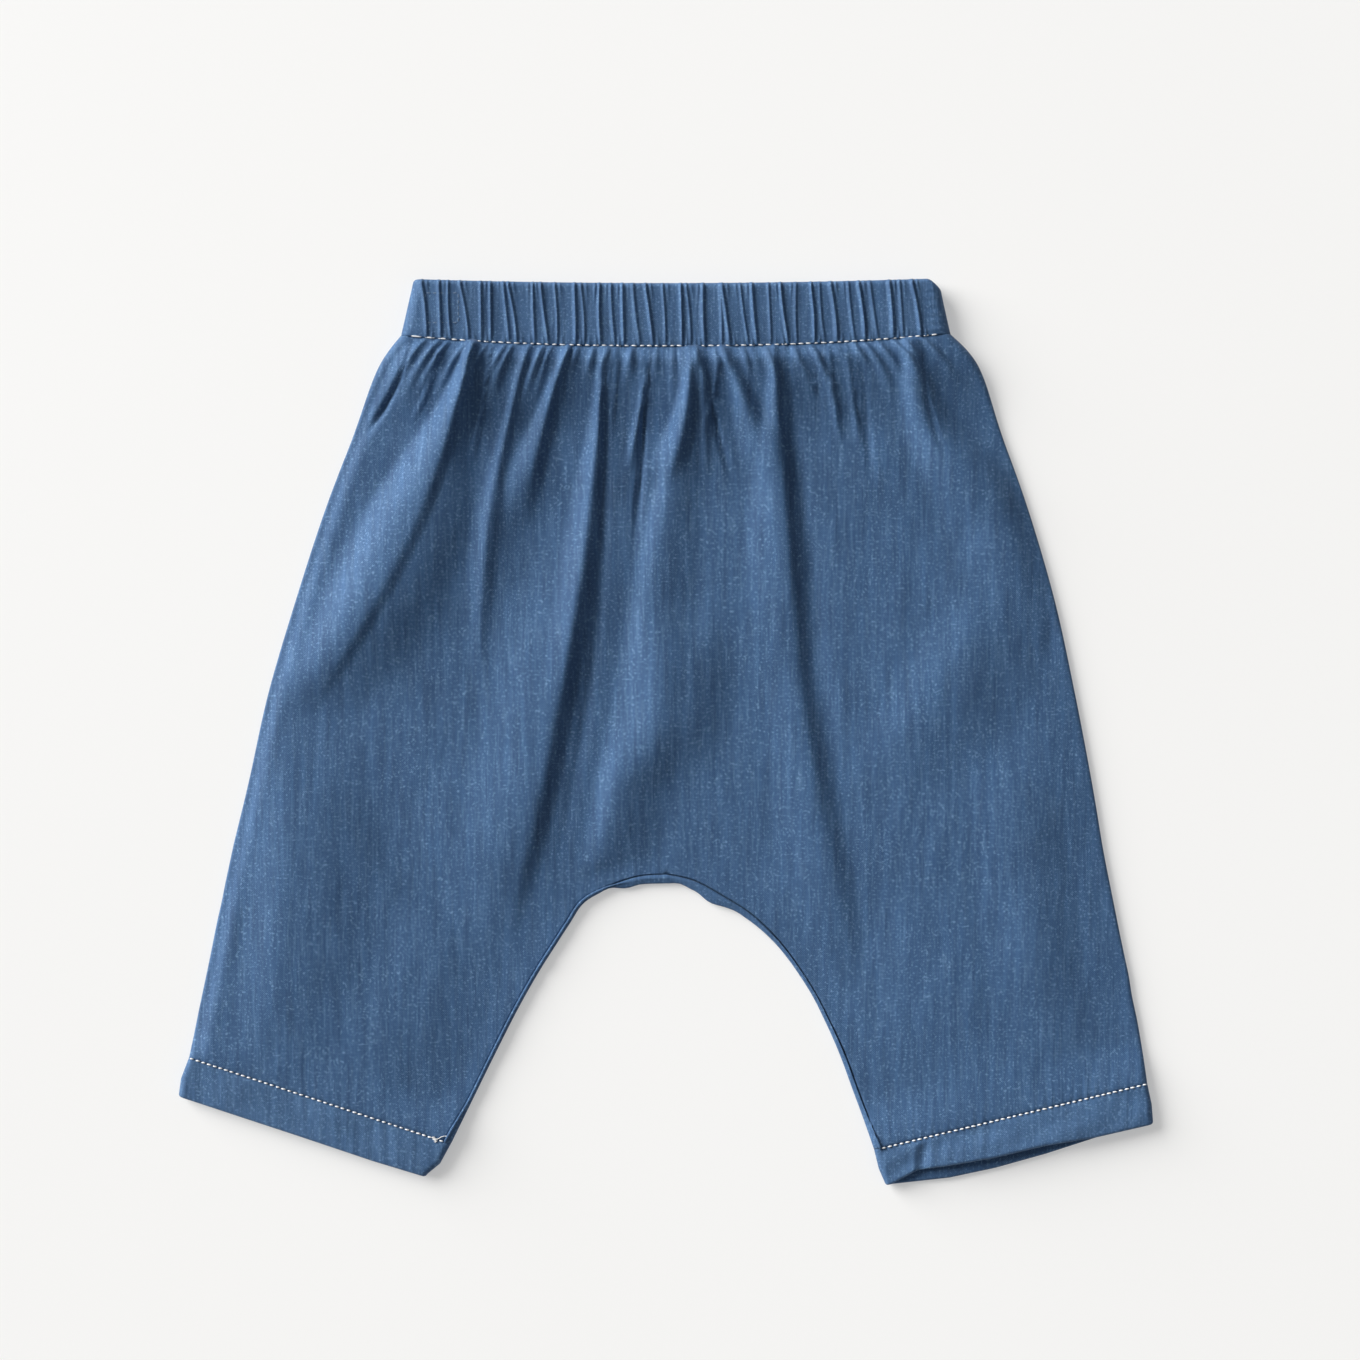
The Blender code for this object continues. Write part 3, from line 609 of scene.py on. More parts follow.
def fading(side, section, x, y):
    """How freely the cloth folds at a place, not at all by the side and the inseam, and how
    far it puffs up between them."""
    from_side = abs(x - section.outer.x) - section.half
    from_inseam = INSEAM.find((x, y, 0.0))[2] - INSEAM_CLEAR
    fade = swell_from(from_side / SIDE_FADES[side]) * ease(from_inseam / INSEAM_FADE)
    return fade, swell_from(from_side / PUFF_REACHES[side]) * ease(from_inseam / PUFF_INSEAM_REACH)


def front_place(side, row, column):
    """A point of the front, counted from the side seam, with its wear and painted light there."""
    section = SECTIONS[side][row]
    flat = 2.0 * section.half
    if column < EDGE_COLUMNS:
        x, y, rise = edge_place(section, 0.5 * math.pi * column / EDGE_COLUMNS)
        return Vector((x, y, section.half + rise)), 0.3
    share = min(1.0, (column - EDGE_COLUMNS) / FRONT_COLUMNS)
    x, y = run_place(section, section.strip + GAP, share)
    fade, puff = fading(side, section, x, y)
    drop = casing_seam_y(x) - y
    gathers = gather_height(side, share, drop)
    held = ease(drop / WAIST_HOLD) * ease((section.to_hem + 0.001) / HEM_HOLD)
    folded = folds_at(FOLDS, x, y, drop) + folds_at(CREASES, x, y, drop)
    folded += folds_at(LOOSE_FOLDS, x, y, None)
    folded = FOLD_LIMIT * math.tanh((folded + PUFF * puff * held) / FOLD_LIMIT)
    lift = soft_floor((folded + gathers + unevenness(x, y, 0.0) * held) * fade)
    lift += hem_pucker(x, y, section.to_hem) * fade
    lift *= ease((drop + 0.0004) / 0.0016)
    z = flat + lift - groove(drop)
    # Gather crests are made paler, partly as wear and partly as a painted highlight
    worn_and_painted_light = min(1.0, 0.5 * gathers / GATHER_HEIGHT)
    turned = column - EDGE_COLUMNS - FRONT_COLUMNS
    # Columns turned down into the seam take their value from SEAM_TURN: painted shade in the crease
    if turned >= 0 and row >= SECTION_ROWS - LEG_ROWS:
        outward, down, worn_and_painted_light = SEAM_TURN[turned]
        x -= section.inward.x * outward
        y -= section.inward.y * outward
        z -= down
    if row == 0:
        y += SEAM + TUCK
        z -= TUCK_DEPTH
    if row == SECTION_ROWS:
        z -= GROOVE_DEPTH
    return Vector((x, y, z)), worn_and_painted_light


def back_place(side, row, column):
    """A point of the back, whose underside rests flat, with soft hollows between."""
    section = SECTIONS[side][row]
    if column < EDGE_COLUMNS:
        x, y, rise = edge_place(section, 0.5 * math.pi * column / EDGE_COLUMNS)
        return Vector((x, y, section.half - rise)), 0.3
    share = (column - EDGE_COLUMNS) / BACK_COLUMNS
    x, y = run_place(section, section.half, share)
    fade, puff = fading(side, section, x, y)
    drop = casing_seam_y(x) - y
    gathers = gather_height(side, share, drop)
    hollow = BACK_RISE * ease(0.5 * folds_at(FOLDS, -x, y, drop) / BACK_RISE)
    hollow += max(0.0, unevenness(x, y, 3.0)) * 0.6 + gathers
    z = hollow * fade + groove(drop) + groove(section.to_hem)
    if row == 0:
        y += SEAM + TUCK
        z += TUCK_DEPTH
    return Vector((x, y, z)), 0.0


def roll_place(column, row):
    """A point of the back's edge, turned up round the inseam to the seam line in front."""
    side = "left" if column < LEG_ROWS else "right"
    section = SECTIONS[side][SECTION_ROWS - LEG_ROWS + abs(column - LEG_ROWS)]
    half = section.half
    if row <= ROLL_STEPS:
        angle = math.pi * (row / ROLL_STEPS - 0.5)
        across = half - half * math.cos(angle)
        z = half + half * math.sin(angle)
    else:
        share = min(1.0, (row - ROLL_STEPS) / STRIP_STEPS)
        across = mix(half, section.strip - GAP / 2.0, share)
        pucker = noise.noise(Vector((section.inner.x, section.inner.y, 0.0)) / PUCKER_PITCH)
        z = 2.0 * half + STRIP_BULGE * (1.0 + 2.0 * pucker) * math.sin(math.pi * share)
    worn_and_painted_light = 0.35
    # Where the edge turns down into the seam the value goes below nothing: painted shade in the crease
    if row >= ROLL_STEPS + STRIP_STEPS:
        outward, down, worn_and_painted_light = SEAM_TURN[row - ROLL_STEPS - STRIP_STEPS]
        across += outward
        z -= down
    swell = sum(scallop.out * bell(section.inner.x - scallop.x, scallop.reach) for scallop in SCALLOPS)
    at = section.inner + section.inward * (across - swell * (1.0 - ease(across / section.strip)))
    return Vector((at.x, at.y, z)), worn_and_painted_light


def add_grid(bm, columns, rows, place):
    """Add a grid of cloth, with each point moved to where place puts its column and row."""
    wear_and_painted_light = bm.verts.layers.float.get("wear_and_painted_light") or bm.verts.layers.float.new("wear_and_painted_light")
    made = bmesh.ops.create_grid(bm, x_segments=columns, y_segments=rows, size=0.5)
    for vertex in made["verts"]:
        column = round((vertex.co.x + 0.5) * columns)
        row = round((vertex.co.y + 0.5) * rows)
        spot, worn_and_painted_light = place(column, row)
        vertex.co = spot + SHIFT
        vertex[wear_and_painted_light] = worn_and_painted_light
    return made["verts"]


def finish_piece(bm, name, material, thickness=0.0):
    """Make the mesh an object that rides on the pants."""
    mesh = bpy.data.meshes.new(name)
    bm.to_mesh(mesh)
    bm.free()
    mesh.shade_smooth()
    mesh.materials.append(material)
    piece = bpy.data.objects.new(name, mesh)
    bpy.context.scene.collection.objects.link(piece)
    if thickness:
        shell = piece.modifiers.new("cloth", "SOLIDIFY")
        shell.thickness = thickness
        shell.offset = -1.0
    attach(piece, "root")
    return piece


def stand_for(piece, node):
    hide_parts(node)
    return piece


def build_panel(name, columns, place, material, facing_down):
    """A front or a back: two half grids that are joined down the centre above the crotch."""
    bm = bmesh.new()
    total = EDGE_COLUMNS + columns + (0 if facing_down else TURN_STEPS)
    add_grid(bm, total, SECTION_ROWS, lambda c, r: place("left", SECTION_ROWS - r, c))
    add_grid(bm, total, SECTION_ROWS, lambda c, r: place("right", SECTION_ROWS - r, total - c))
    if facing_down:
        bmesh.ops.reverse_faces(bm, faces=bm.faces)
        add_grid(bm, 2 * LEG_ROWS, ROLL_STEPS + STRIP_STEPS + TURN_STEPS, roll_place)
    bmesh.ops.remove_doubles(bm, verts=bm.verts, dist=MERGE)
    return finish_piece(bm, name, material, CLOTH)


Stop = namedtuple("Stop", "inset rise climb")


def folded_stops(layers, outer_rows, fold_rows, inner_rows):
    """Stops up a cloth tube, over its fold, and back down inside it."""
    turn = (layers * WALL + (layers - 1) * GAP) / 2.0
    stops = [Stop(0.0, 0.0, row / outer_rows) for row in range(outer_rows)]
    for step in range(fold_rows + 1):
        angle = math.pi * step / fold_rows
        stops.append(Stop(turn - turn * math.cos(angle), turn * math.sin(angle), 1.0))
    for row in range(1, inner_rows + 1):
        stops.append(Stop(2.0 * turn, 0.0, 1.0 - row / inner_rows))
    return stops, turn


def ring_turns(front, ends, back):
    """Places round a flattened tube: 0 to 1 in front, 1 to 2 its end, 2 to 3 behind."""
    turns = [step / front for step in range(front)]
    turns += [1.0 + step / ends for step in range(ends)]
    turns += [2.0 + step / back for step in range(back)]
    turns += [3.0 + step / ends for step in range(ends + 1)]
    return turns


def ring_place(turn, spans, half, inset):
    """A place on a flattened tube's section: x, z, its share along it, and how far round
    it faces, from 1 in front to -1 behind."""
    radius = half - inset
    quarter = int(min(turn, 3.999))
    f = turn - quarter
    if quarter == 0:
        share, angle, outward = f, 0.5 * math.pi, 0.0
    elif quarter == 1:
        share, angle, outward = 1.0, math.pi * (0.5 - f), 1.0
    elif quarter == 2:
        share, angle, outward = 1.0 - f, -0.5 * math.pi, 0.0
    else:
        share, angle, outward = 0.0, math.pi * (f - 0.5), -1.0
    x = mix(spans[0] + half, spans[1] - half, share) + outward * radius * math.cos(angle)
    return x, half + radius * math.sin(angle), share, math.sin(angle)


CASING_STOPS, CASING_TURN = folded_stops(3, 26, 8, 8)
CASING_TURNS = ring_turns(560, 10, 280)


def casing_spans(climb):
    ends = zip(CASING_END_BOTTOM, CASING_END_TOP)
    return [mix(bottom, top, climb) for bottom, top in ends]


def rib_height(x, climb, over):
    """Ribs of the casing at a place, some forked at an end. over runs from 0 to 1 across the
    fold at the top."""
    total = 0.0
    index = bisect.bisect(RIB_PLACES, x + RIB_LEAN[1] * climb)
    for rib in RIBS[max(0, index - 2):index + 2]:
        centre = rib.x - rib.lean * climb + rib.sway * math.sin(math.pi * climb)
        reach = (RIB_LEFT if x < centre else RIB_RIGHT) * rib.width
        rise = mix(RIB_FOOT, 1.0, ease(climb / RIB_FOOT_REACH)) * (1.0 - RIB_LOSS_OVER * over)
        total = max(total, rib.height * rise * bell(x - centre, reach))
        for end, start in FORKS:
            near = ease((climb - start) / (end - start)) * (1.0 - over)
            aside = centre + FORK_ASIDE * (RIB_LEFT if rib.sway > 0.0 else -RIB_LEFT)
            total = max(total, FORK_HEIGHT * rib.height * near * bell(x - aside, FORK_REACH * RIB_LEFT))
    slack = noise.noise(Vector((x / BAND_SLACK_PITCH, 0.5 * climb, 23.0))) * math.sin(math.pi * climb)
    return total + BAND_SLACK * (0.6 + slack) * (1.0 - over)


def end_creases(x, y):
    """Short level creases in the flat right end of the casing."""
    near = bell(x - END_CREASE_X, END_CREASE_REACH)
    return END_CREASE_HEIGHT * near * (0.5 + 0.5 * math.sin(2.0 * math.pi * y / END_CREASE_PITCH))


def casing_place(column, row):
    """A point of the casing, between its stitched seam and its folded top."""
    stop = CASING_STOPS[row]
    spans = casing_spans(stop.climb)
    x, z, share, facing = ring_place(CASING_TURNS[column], spans, WAIST_HALF, stop.inset)
    fold_start = casing_top_y(x) - CASING_TURN
    y = mix(casing_seam_y(x) - SEAM, fold_start, stop.climb) + stop.rise
    over = min(1.0, stop.inset / CASING_TURN)
    raised = rib_height(x, stop.climb, over) if stop.inset < 1.5 * CASING_TURN else 0.0
    height = y - casing_seam_y(x)
    if facing > 0.99:
        z += raised + (end_creases(x, y) - groove(height)) * (1.0 - over)
        y += TOP_RIB_SHARE * raised * over
    elif facing < -0.99:
        z += (groove(height) + CASING_UNDER - UNDER_RIB_SHARE * raised) * (1.0 - over)
    # Rib crests are made paler, partly as wear and partly as a painted highlight; the folded top a little,
    # as wear
    return Vector((x, y, z)), min(1.0, 0.8 * raised / RIB_HEIGHT + 0.25 * over)


def build_ring(name, turns, stops, place, material, flip, thickness=CLOTH):
    """Cloth all the way round a flattened tube."""
    bm = bmesh.new()
    add_grid(bm, len(turns) - 1, len(stops) - 1, place)
    bmesh.ops.remove_doubles(bm, verts=bm.verts, dist=MERGE)
    if flip:
        bmesh.ops.reverse_faces(bm, faces=bm.faces)
    return finish_piece(bm, name, material, thickness)


ELASTIC_ROWS = 18
ELASTIC_TURNS = ring_turns(220, 8, 220)


def elastic_place(column, row):
    """A point of the elastic, which lies just clear of the casing's fold and seam."""
    climb = row / ELASTIC_ROWS
    x, z, share, facing = ring_place(ELASTIC_TURNS[column], casing_spans(climb), WAIST_HALF, LAYER)
    top = casing_top_y(x) - ELASTIC_BELOW_TOP
    bottom = max(top - ELASTIC_WIDTH, casing_seam_y(x) + ELASTIC_ABOVE_SEAM)
    z += ELASTIC_CORD * math.cos(math.pi * row) * facing
    return Vector((x, mix(bottom, top, climb), z)), 0.0


HEM_STOPS, HEM_TURN = folded_stops(2, 16, 8, 8)
HEM_TURNS = ring_turns(190, 8, 150)


class HemBand:
    """A turned-up hem, which follows the line of its stitching."""

    def __init__(self, side):
        leg = LEGS[side][-1]
        self.side = side
        self.start = Vector((leg.side_x, leg.side_y))
        along = Vector((leg.inseam_x, leg.inseam_y)) - self.start
        self.length = along.length
        self.along = along.normalized()
        turn = 1.0 if side == "left" else -1.0
        self.down = Vector((self.along.y * turn, -self.along.x * turn))
        self.depths = HEM_DEPTHS[side]

    def at(self, x, depth):
        return self.start + self.along * x + self.down * depth

    def spans(self, climb):
        reach = climb * self.depths[0].front
        ends = HEM_ENDS[self.side]
        return (look_up(ends, reach, "side"), self.length - look_up(ends, reach, "inseam"))

    def ripple(self, x, climb):
        """Slack between the stitches and the fold, pulled a little askew."""
        askew = (x - ROPE_ASKEW * climb) / ROPE_PITCH
        swell = 0.6 + 0.4 * math.sin(x / 0.0131 + 2.0)
        dent = DENT_HEIGHT * bell(x - DENT_X - 0.003 * climb, DENT_REACH) if self.side == "right" else 0.0
        rope = ROPE_HEIGHT * swell * math.sin(2.0 * math.pi * askew)
        layer = 9.0 if self.side == "left" else 15.0
        slack = HEM_SLACK * noise.noise(Vector((x / HEM_SLACK_PITCH, 2.0 * climb, layer)))
        return (rope + slack) * ease(climb / 0.15) - dent * ease(climb / 0.5)

    def place(self, column, row):
        stop = HEM_STOPS[row]
        x, z, share, facing = ring_place(HEM_TURNS[column], self.spans(stop.climb), HEM_HALF, stop.inset)
        forward = 0.5 + 0.5 * facing
        depth = mix(look_up(self.depths, share, "back"), look_up(self.depths, share, "front"), forward)
        front = facing > 0.0
        lift = HEM_LIFT[self.side] * math.sin(math.pi * share) * stop.climb * front
        along_depth = mix(-SEAM, depth - HEM_TURN, stop.climb) + stop.rise
        spot = self.at(x, along_depth)
        outer = max(0.0, 1.0 - stop.inset / HEM_TURN)
        shape = self.ripple(x, stop.climb) - groove(along_depth)
        if facing > 0.99:
            z += shape * outer
        elif facing < -0.99:
            z += max(0.0, -shape + 0.0001) * outer
        # Paler along the hem's folded edge, as wear, and weaker inside the band
        worn_and_painted_light = 0.35 + 0.65 * bell(stop.rise - HEM_TURN, HEM_TURN)
        return Vector((spot.x, spot.y, z + lift)), worn_and_painted_light * (0.4 if stop.inset > HEM_TURN else 1.0)


class Recipe:
    """One material's nodes, with short ways to add and join them."""

    def __init__(self, name, roughness, specular, sheen):
        self.material = bpy.data.materials.new(name)
        self.material.use_nodes = True
        self.tree = self.material.node_tree
        self.shader = self.tree.nodes["Principled BSDF"]
        self.shader.inputs["Roughness"].default_value = roughness
        self.shader.inputs["Specular IOR Level"].default_value = specular
        self.shader.inputs["Sheen Weight"].default_value = sheen
        self.shader.inputs["Sheen Roughness"].default_value = 0.5
        self.where = self.node("TexCoord").outputs["Object"]

    def node(self, kind, inputs=(), **settings):
        made = self.tree.nodes.new("ShaderNode" + kind)
        for name, value in settings.items():
            setattr(made, name, value)
        for key, value in dict(inputs).items():
            if isinstance(value, bpy.types.NodeSocket):
                self.tree.links.new(value, made.inputs[key])
            else:
                made.inputs[key].default_value = value
        return made

    def math(self, operation, a, b=0.0):
        return self.node("Math", {0: a, 1: b}, operation=operation).outputs[0]

    def axis(self, name):
        return self.node("SeparateXYZ", {0: self.where}).outputs[name]

    def noise(self, pitches, detail=2.0, offset=0.0):
        """Noise from 0 to 1, with its own pitch along X, Y and Z."""
        scales = [1.0 / pitch for pitch in pitches]
        mapping = self.node("Mapping", {"Vector": self.where, "Scale": scales,
                                        "Location": (offset, offset, offset)})
        made = self.node("TexNoise", {"Vector": mapping.outputs[0], "Scale": 1.0, "Detail": detail})
        return made.outputs["Fac"]

    def wave(self, axis, pitch, bend):
        """A yarn's wave across an axis, bent a little by noise."""
        place = self.math("ADD", self.axis(axis), bend)
        return self.math("SINE", self.math("MULTIPLY", place, 2.0 * math.pi / pitch))

    def spread(self, value, low, high, to_low=0.0, to_high=1.0):
        made = self.node("MapRange", {"Value": value, "From Min": low, "From Max": high,
                                      "To Min": to_low, "To Max": to_high})
        return made.outputs[0]

    def tint(self, blend, share, a, b):
        made = self.node("Mix", {0: share, 6: a, 7: b}, data_type="RGBA", blend_type=blend)
        return made.outputs[2]

    def colour(self, value):
        self.tree.links.new(value, self.shader.inputs["Base Color"])

    def bump(self, *layers):
        """Bump from several heights, each with its strength and its depth in metres."""
        normal = None
        for height, strength, depth in layers:
            inputs = {"Height": height, "Strength": strength, "Distance": depth}
            if normal:
                inputs["Normal"] = normal
            normal = self.node("Bump", inputs).outputs[0]
        self.tree.links.new(normal, self.shader.inputs["Normal"])


WARP = (0.025, 0.064, 0.148, 1.0)
WEFT = (0.056, 0.127, 0.258, 1.0)
FLECK = (0.195, 0.335, 0.520, 1.0)
# Paler blue for ridges: partly wear and partly a painted highlight
WORN_AND_HIGHLIGHT = (0.128, 0.238, 0.410, 1.0)
INK = (0.013, 0.036, 0.092, 1.0)
# Dark colour painted as shade into the seam's deep crease
CREASE_PAINTED_SHADE = (0.006, 0.012, 0.028, 1.0)
YARN_PITCH = 0.00072


def chambray(name, wear_and_highlight_share):
    """Plain weave with an indigo warp and a paler weft, slubs and flecks; ridges are made paler, partly as
    wear and partly as a painted highlight, and deep creases get painted shade.
    """
    r = Recipe(name, 0.68, 0.20, 0.05)
    drift = r.noise((0.004, 0.004, 0.004), 1.0)
    bend = r.math("MULTIPLY", drift, 0.0006)
    warp = r.wave("X", YARN_PITCH, bend)
    weft = r.wave("Y", YARN_PITCH, bend)
    weave = r.math("MULTIPLY", warp, weft)
    base = r.tint("MIX", r.spread(weave, -0.6, 0.6), WEFT, WARP)
    slub = r.noise((0.0010, 0.020, 0.02), 3.0)
    base = r.tint("MIX", r.spread(slub, 0.47, 0.75, 0.0, 0.34), base, INK)
    pale = r.noise((0.0007, 0.012, 0.02), 3.0, 31.0)
    base = r.tint("MIX", r.spread(pale, 0.50, 0.80, 0.0, 0.22), base, FLECK)
    thick_weft = r.noise((0.006, 0.0007, 0.02), 2.0, 57.0)
    base = r.tint("MIX", r.spread(thick_weft, 0.52, 0.80, 0.0, 0.14), base, FLECK)
    fleck = r.noise((0.0008, 0.0008, 0.002), 2.0, 83.0)
    base = r.tint("MIX", r.spread(fleck, 0.56, 0.74, 0.0, 0.60), base, FLECK)
    streak = r.noise((0.0024, 0.030, 0.03), 3.0, 44.0)
    shade = r.tint("MIX", r.spread(streak, 0.25, 0.75), (0.80, 0.81, 0.83, 1.0), (1.20, 1.19, 1.17, 1.0))
    base = r.tint("MULTIPLY", 1.0, base, shade)
    wash = r.noise((0.012, 0.022, 0.020), 5.0, 12.0)
    shade = r.tint("MIX", wash, (0.86, 0.87, 0.88, 1.0), (1.14, 1.13, 1.12, 1.0))
    base = r.tint("MULTIPLY", 1.0, base, shade)
    worn_and_painted_light = r.node("Attribute", attribute_name="wear_and_painted_light").outputs["Fac"]
    # Ridges marked by the attribute are mixed toward a paler blue, partly wear and partly a painted
    # highlight
    rubbed_and_highlit = r.math("MULTIPLY", worn_and_painted_light, r.spread(fleck, 0.30, 0.70, 0.35, 1.0))
    base = r.tint("MIX", r.math("MULTIPLY", rubbed_and_highlit, wear_and_highlight_share), base, WORN_AND_HIGHLIGHT)
    # Values below nothing paint shade into the deep crease of the seam
    base = r.tint("MIX", r.spread(worn_and_painted_light, 0.0, -1.0, 0.0, 0.50), base, CREASE_PAINTED_SHADE)
    r.colour(base)
    r.bump((weave, 0.35, 0.00010), (slub, 0.5, 0.00022), (thick_weft, 0.4, 0.00018),
           (r.noise((0.006, 0.009, 0.006), 3.0, 5.0), 0.35, 0.0009))
    return r.material


def thread(name, light, dark):
    """Spun cotton thread, with its twist."""
    r = Recipe(name, 0.70, 0.25, 0.15)
    twist = r.math("ADD", r.axis("X"), r.axis("Y"))
    ply = r.math("SINE", r.math("MULTIPLY", twist, 2.0 * math.pi / 0.0005))
    fibre = r.noise((0.0004, 0.0004, 0.0004), 2.0)
    r.colour(r.tint("MIX", r.spread(fibre, 0.25, 0.60), dark, light))
    r.bump((ply, 0.5, 0.00008), (fibre, 0.4, 0.00005))
    return r.material


def woven_elastic():
    """White woven elastic, with ribs along it and rubber cores across."""
    r = Recipe("woven_elastic", 0.72, 0.20, 0.10)
    cores = r.wave("Y", 0.0016, 0.0)
    picks = r.wave("X", 0.0009, 0.0)
    grime = r.noise((0.008, 0.004, 0.008), 3.0)
    base = r.tint("MIX", r.spread(cores, -1.0, 1.0), (0.66, 0.65, 0.62, 1.0), (0.84, 0.83, 0.80, 1.0))
    shade = r.tint("MIX", grime, (0.80, 0.79, 0.76, 1.0), (1.0, 1.0, 1.0, 1.0))
    r.colour(r.tint("MULTIPLY", 0.6, base, shade))
    r.bump((r.math("MULTIPLY", cores, picks), 0.6, 0.0002))
    return r.material


def floor_paper():
    """The pale surface below. It glows a little though it is no lamp, which lightens the shadows cast on
    it.
    """
    r = Recipe("pale_surface", 0.92, 0.10, 0.0)
    cloud = r.noise((0.35, 0.35, 0.35), 2.0)
    r.colour(r.tint("MIX", cloud, (0.55, 0.547, 0.541, 1.0), (0.57, 0.57, 0.567, 1.0)))
    r.bump((r.noise((0.002, 0.002, 0.002), 3.0), 0.05, 0.0002))
    # A glow painted into the surface, though it is no lamp, lightens the shadows cast on it
    r.shader.inputs["Emission Color"].default_value = (1.0, 0.995, 0.985, 1.0)
    r.shader.inputs["Emission Strength"].default_value = FLOOR_GLOW
    return r.material


def add_stitch(bm, spot, way, length, tilt=0.0, width=STITCH_WIDTH, rise=STITCH_RISE):
    """One stitch: a small rounded grain of thread along a way, sunk at its ends."""
    turn = Matrix.Rotation(math.atan2(way.y, way.x) + tilt, 4, "Z")
    size = Matrix.Diagonal((length / 2.0, width / 2.0, rise, 1.0))
    place = Matrix.Translation(spot + SHIFT) @ turn @ size
    bmesh.ops.create_uvsphere(bm, u_segments=8, v_segments=6, radius=1.0, matrix=place)


def stitch_casing(bm, z, chance):
    """The row of stitches under the casing, with longer floats at its left end."""
    x = CASING_END_BOTTOM[0] + 0.004
    while x < CASING_END_BOTTOM[1] - 0.005:
        near_end = x < CASING_END_BOTTOM[0] + 0.018
        length = CASING_STITCH_LENGTH * (1.9 if near_end else chance.uniform(0.85, 1.1))
        spot = Vector((x + length / 2.0, casing_seam_y(x + length / 2.0), z))
        slope = casing_seam_y(x + length) - casing_seam_y(x)
        tilt = chance.uniform(-0.10, 0.04)
        add_stitch(bm, spot, Vector((length, slope)), length, tilt)
        x += length + CASING_STITCH_PITCH - CASING_STITCH_LENGTH


def stitch_hem(bm, band, z, chance):
    """The row of stitches along the top of a hem."""
    slant = 0.14 if band.side == "left" else -0.14
    x = 0.0014
    while x < band.length - 0.0018:
        spot = band.at(x, 0.0)
        tilt = slant * chance.uniform(0.3, 1.3)
        length = HEM_STITCH_LENGTH * chance.uniform(0.85, 1.12)
        add_stitch(bm, Vector((spot.x, spot.y, z)), band.along, length, tilt)
        x += HEM_STITCH_PITCH * chance.uniform(0.94, 1.06)


def build_topstitching(material, bands):
    """White thread: the casing's row and both hems' rows, in front and behind."""
    chance = random.Random(5)
    bm = bmesh.new()
    under = STITCH_RISE + STITCH_CLEAR
    for z in (2.0 * WAIST_HALF - GROOVE_DEPTH + STITCH_PROUD, under):
        stitch_casing(bm, z, chance)
    for band in bands:
        for z in (2.0 * HEM_HALF - GROOVE_DEPTH + STITCH_PROUD, under):
            stitch_hem(bm, band, z, chance)
    return finish_piece(bm, "topstitching", material)


TACK_LEFT = -0.0908
TACK_RIGHT = -0.0783
TACK_TOP = 0.1664
TACK_BOTTOM = 0.1552


def build_tacking(material):
    """The blue tacked box that holds the ends of the elastic."""
    chance = random.Random(8)
    bm = bmesh.new()
    corners = [Vector((TACK_LEFT, TACK_BOTTOM)), Vector((TACK_RIGHT, TACK_BOTTOM)),
               Vector((TACK_RIGHT, TACK_TOP)), Vector((TACK_LEFT, TACK_TOP))]
    for start, stop in zip(corners, corners[1:] + corners[:1]):
        count = round((stop - start).length / TACK_PITCH)
        for number in range(count):
            at = start.lerp(stop, (number + 0.5) / count)
            spot = Vector((at.x, at.y, 2.0 * WAIST_HALF + 0.0001))
            add_stitch(bm, spot, stop - start, TACK_STITCH_LENGTH, chance.uniform(-0.06, 0.06))
    return finish_piece(bm, "elastic_tacking", material)


def build_thread_end(material, band):
    """Where the left hem's stitching ends: a small knot of back stitches and a loose tail."""
    chance = random.Random(3)
    bm = bmesh.new()
    top = 2.0 * HEM_HALF
    for number in range(5):
        spot = band.at(band.length - 0.0072 + 0.0004 * number, 0.0003 * number - 0.0004)
        tilt = chance.uniform(0.3, 1.3)
        add_stitch(bm, Vector((spot.x, spot.y, top + 0.0001)), band.along, 0.0014, tilt, 0.0004, 0.0003)
    start = band.at(band.length - 0.0062, 0.0002)
    tail = Vector((start.x, start.y, top + 0.0001))
    heading = 0.15
    for number in range(8):
        way = Vector((math.cos(heading), math.sin(heading), 0.0))
        add_stitch(bm, tail + way * 0.0003, way, 0.0011, 0.0, 0.0003, 0.0002)
        tail += way * 0.0007
        heading += 0.25 * math.cos(0.9 * number)
    return finish_piece(bm, "thread_end", material)


front_cloth = chambray("front_chambray_weave", 0.35)
back_cloth = chambray("back_chambray_weave", 0.35)
casing_cloth = chambray("casing_chambray_weave", 0.22)
left_cloth = chambray("left_hem_chambray_weave", 0.50)
right_cloth = chambray("right_hem_chambray_weave", 0.50)
white_thread = thread("white_cotton_thread", (0.90, 0.90, 0.89, 1.0), (0.74, 0.75, 0.77, 1.0))
blue_thread = thread("blue_cotton_thread", (0.16, 0.24, 0.36, 1.0), (0.07, 0.12, 0.21, 1.0))

front = stand_for(build_panel("front_cloth", FRONT_COLUMNS, front_place, front_cloth, False), "front_panel")
back = stand_for(build_panel("back_cloth", BACK_COLUMNS, back_place, back_cloth, True), "back_panel")
casing = stand_for(
    build_ring("casing_cloth", CASING_TURNS, CASING_STOPS, casing_place, casing_cloth, False),
    "waist_casing")
elastic = stand_for(
    build_ring("elastic_tape", ELASTIC_TURNS, range(ELASTIC_ROWS + 1), elastic_place,
               woven_elastic(), False, WALL),
    "waist_elastic")
bands = [HemBand("left"), HemBand("right")]
for band, cloth in zip(bands, (left_cloth, right_cloth)):
    hem = build_ring(band.side + "_hem_cloth", HEM_TURNS, HEM_STOPS, band.place, cloth, band.side == "left")
    stand_for(hem, band.side + "_hem")
topstitching = build_topstitching(white_thread, bands)
tacking = build_tacking(blue_thread)
thread_end = build_thread_end(white_thread, bands[0])

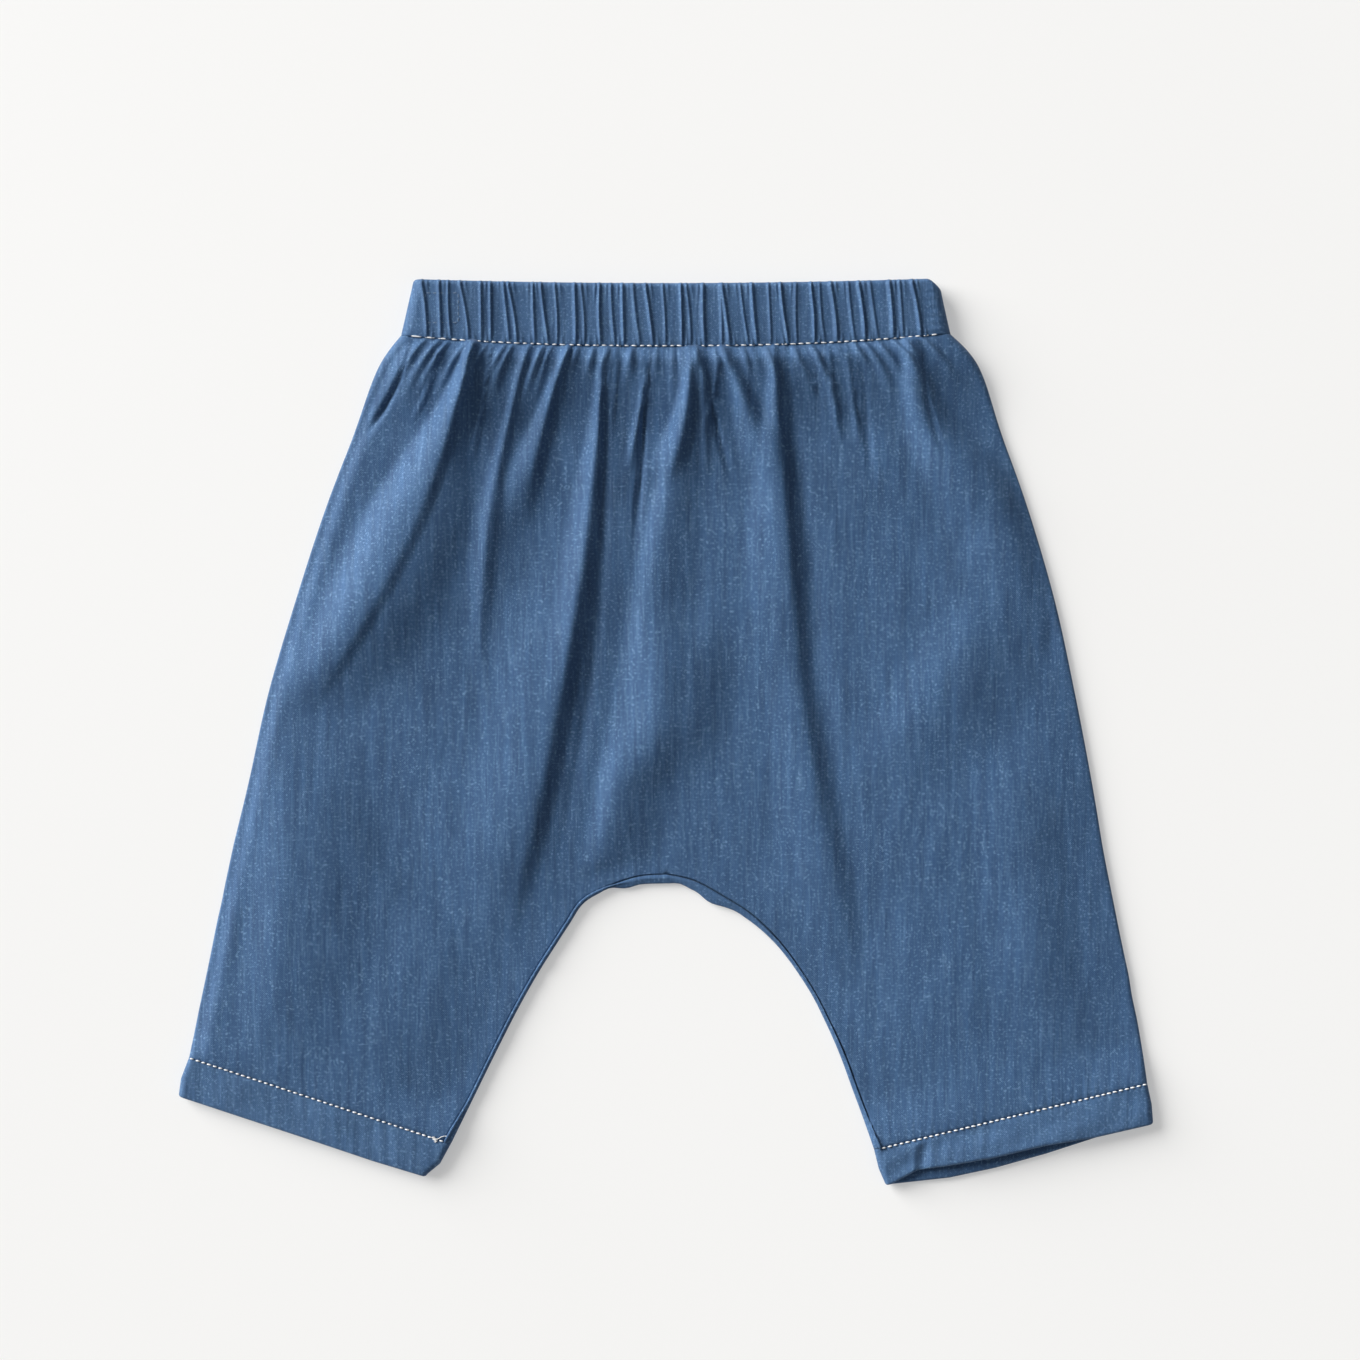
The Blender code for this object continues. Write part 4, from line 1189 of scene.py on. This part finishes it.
# The surface below, the lights and the camera
bm = bmesh.new()
bmesh.ops.create_grid(bm, x_segments=8, y_segments=8, size=FLOOR_REACH)
bmesh.ops.translate(bm, verts=bm.verts, vec=(0.0, 0.0, -FLOOR_BELOW))
floor_mesh = bpy.data.meshes.new("surface")
bm.to_mesh(floor_mesh)
bm.free()
floor_mesh.materials.append(floor_paper())
surface = bpy.data.objects.new("surface", floor_mesh)
bpy.context.scene.collection.objects.link(surface)

world = bpy.data.worlds.new("studio")
bpy.context.scene.world = world
world.use_nodes = True
sky = world.node_tree.nodes["Background"]
sky.inputs["Color"].default_value = (0.96, 0.98, 1.0, 1.0)
sky.inputs["Strength"].default_value = SKY_STRENGTH
bpy.context.scene.view_settings.view_transform = "Standard"


def soft_light(name, spot, size, power, colour):
    """A square soft box that faces the pants."""
    lamp = bpy.data.lights.new(name, "AREA")
    lamp.size = size
    lamp.energy = power
    lamp.color = colour
    light = bpy.data.objects.new(name, lamp)
    light.location = spot
    light.rotation_euler = (-Vector(spot)).to_track_quat("-Z", "Y").to_euler()
    bpy.context.scene.collection.objects.link(light)


soft_light("fill_light", (1.4, -1.0, 1.9), 1.6, 3.0, (0.95, 0.97, 1.0))
soft_light("near_light", (-1.1, 0.9, 1.2), 1.2, 7.0, (1.0, 1.0, 1.0))
window = bpy.data.objects.new("window_light", bpy.data.lights.new("window_light", "SUN"))
window.data.energy = WINDOW_STRENGTH
window.data.angle = math.radians(WINDOW_SPREAD)
window.data.color = (1.0, 0.99, 0.97)
window.rotation_euler = (-Vector(WINDOW_FROM)).to_track_quat("-Z", "Y").to_euler()
bpy.context.scene.collection.objects.link(window)

camera = bpy.data.objects.new("camera", bpy.data.cameras.new("camera"))
camera.data.sensor_width = 36.0
camera.data.lens = camera.data.sensor_width * CAMERA_HEIGHT / VIEW_WIDTH
camera.location = (VIEW_CENTRE[0], VIEW_CENTRE[1], CAMERA_HEIGHT)
bpy.context.scene.collection.objects.link(camera)
bpy.context.scene.camera = camera
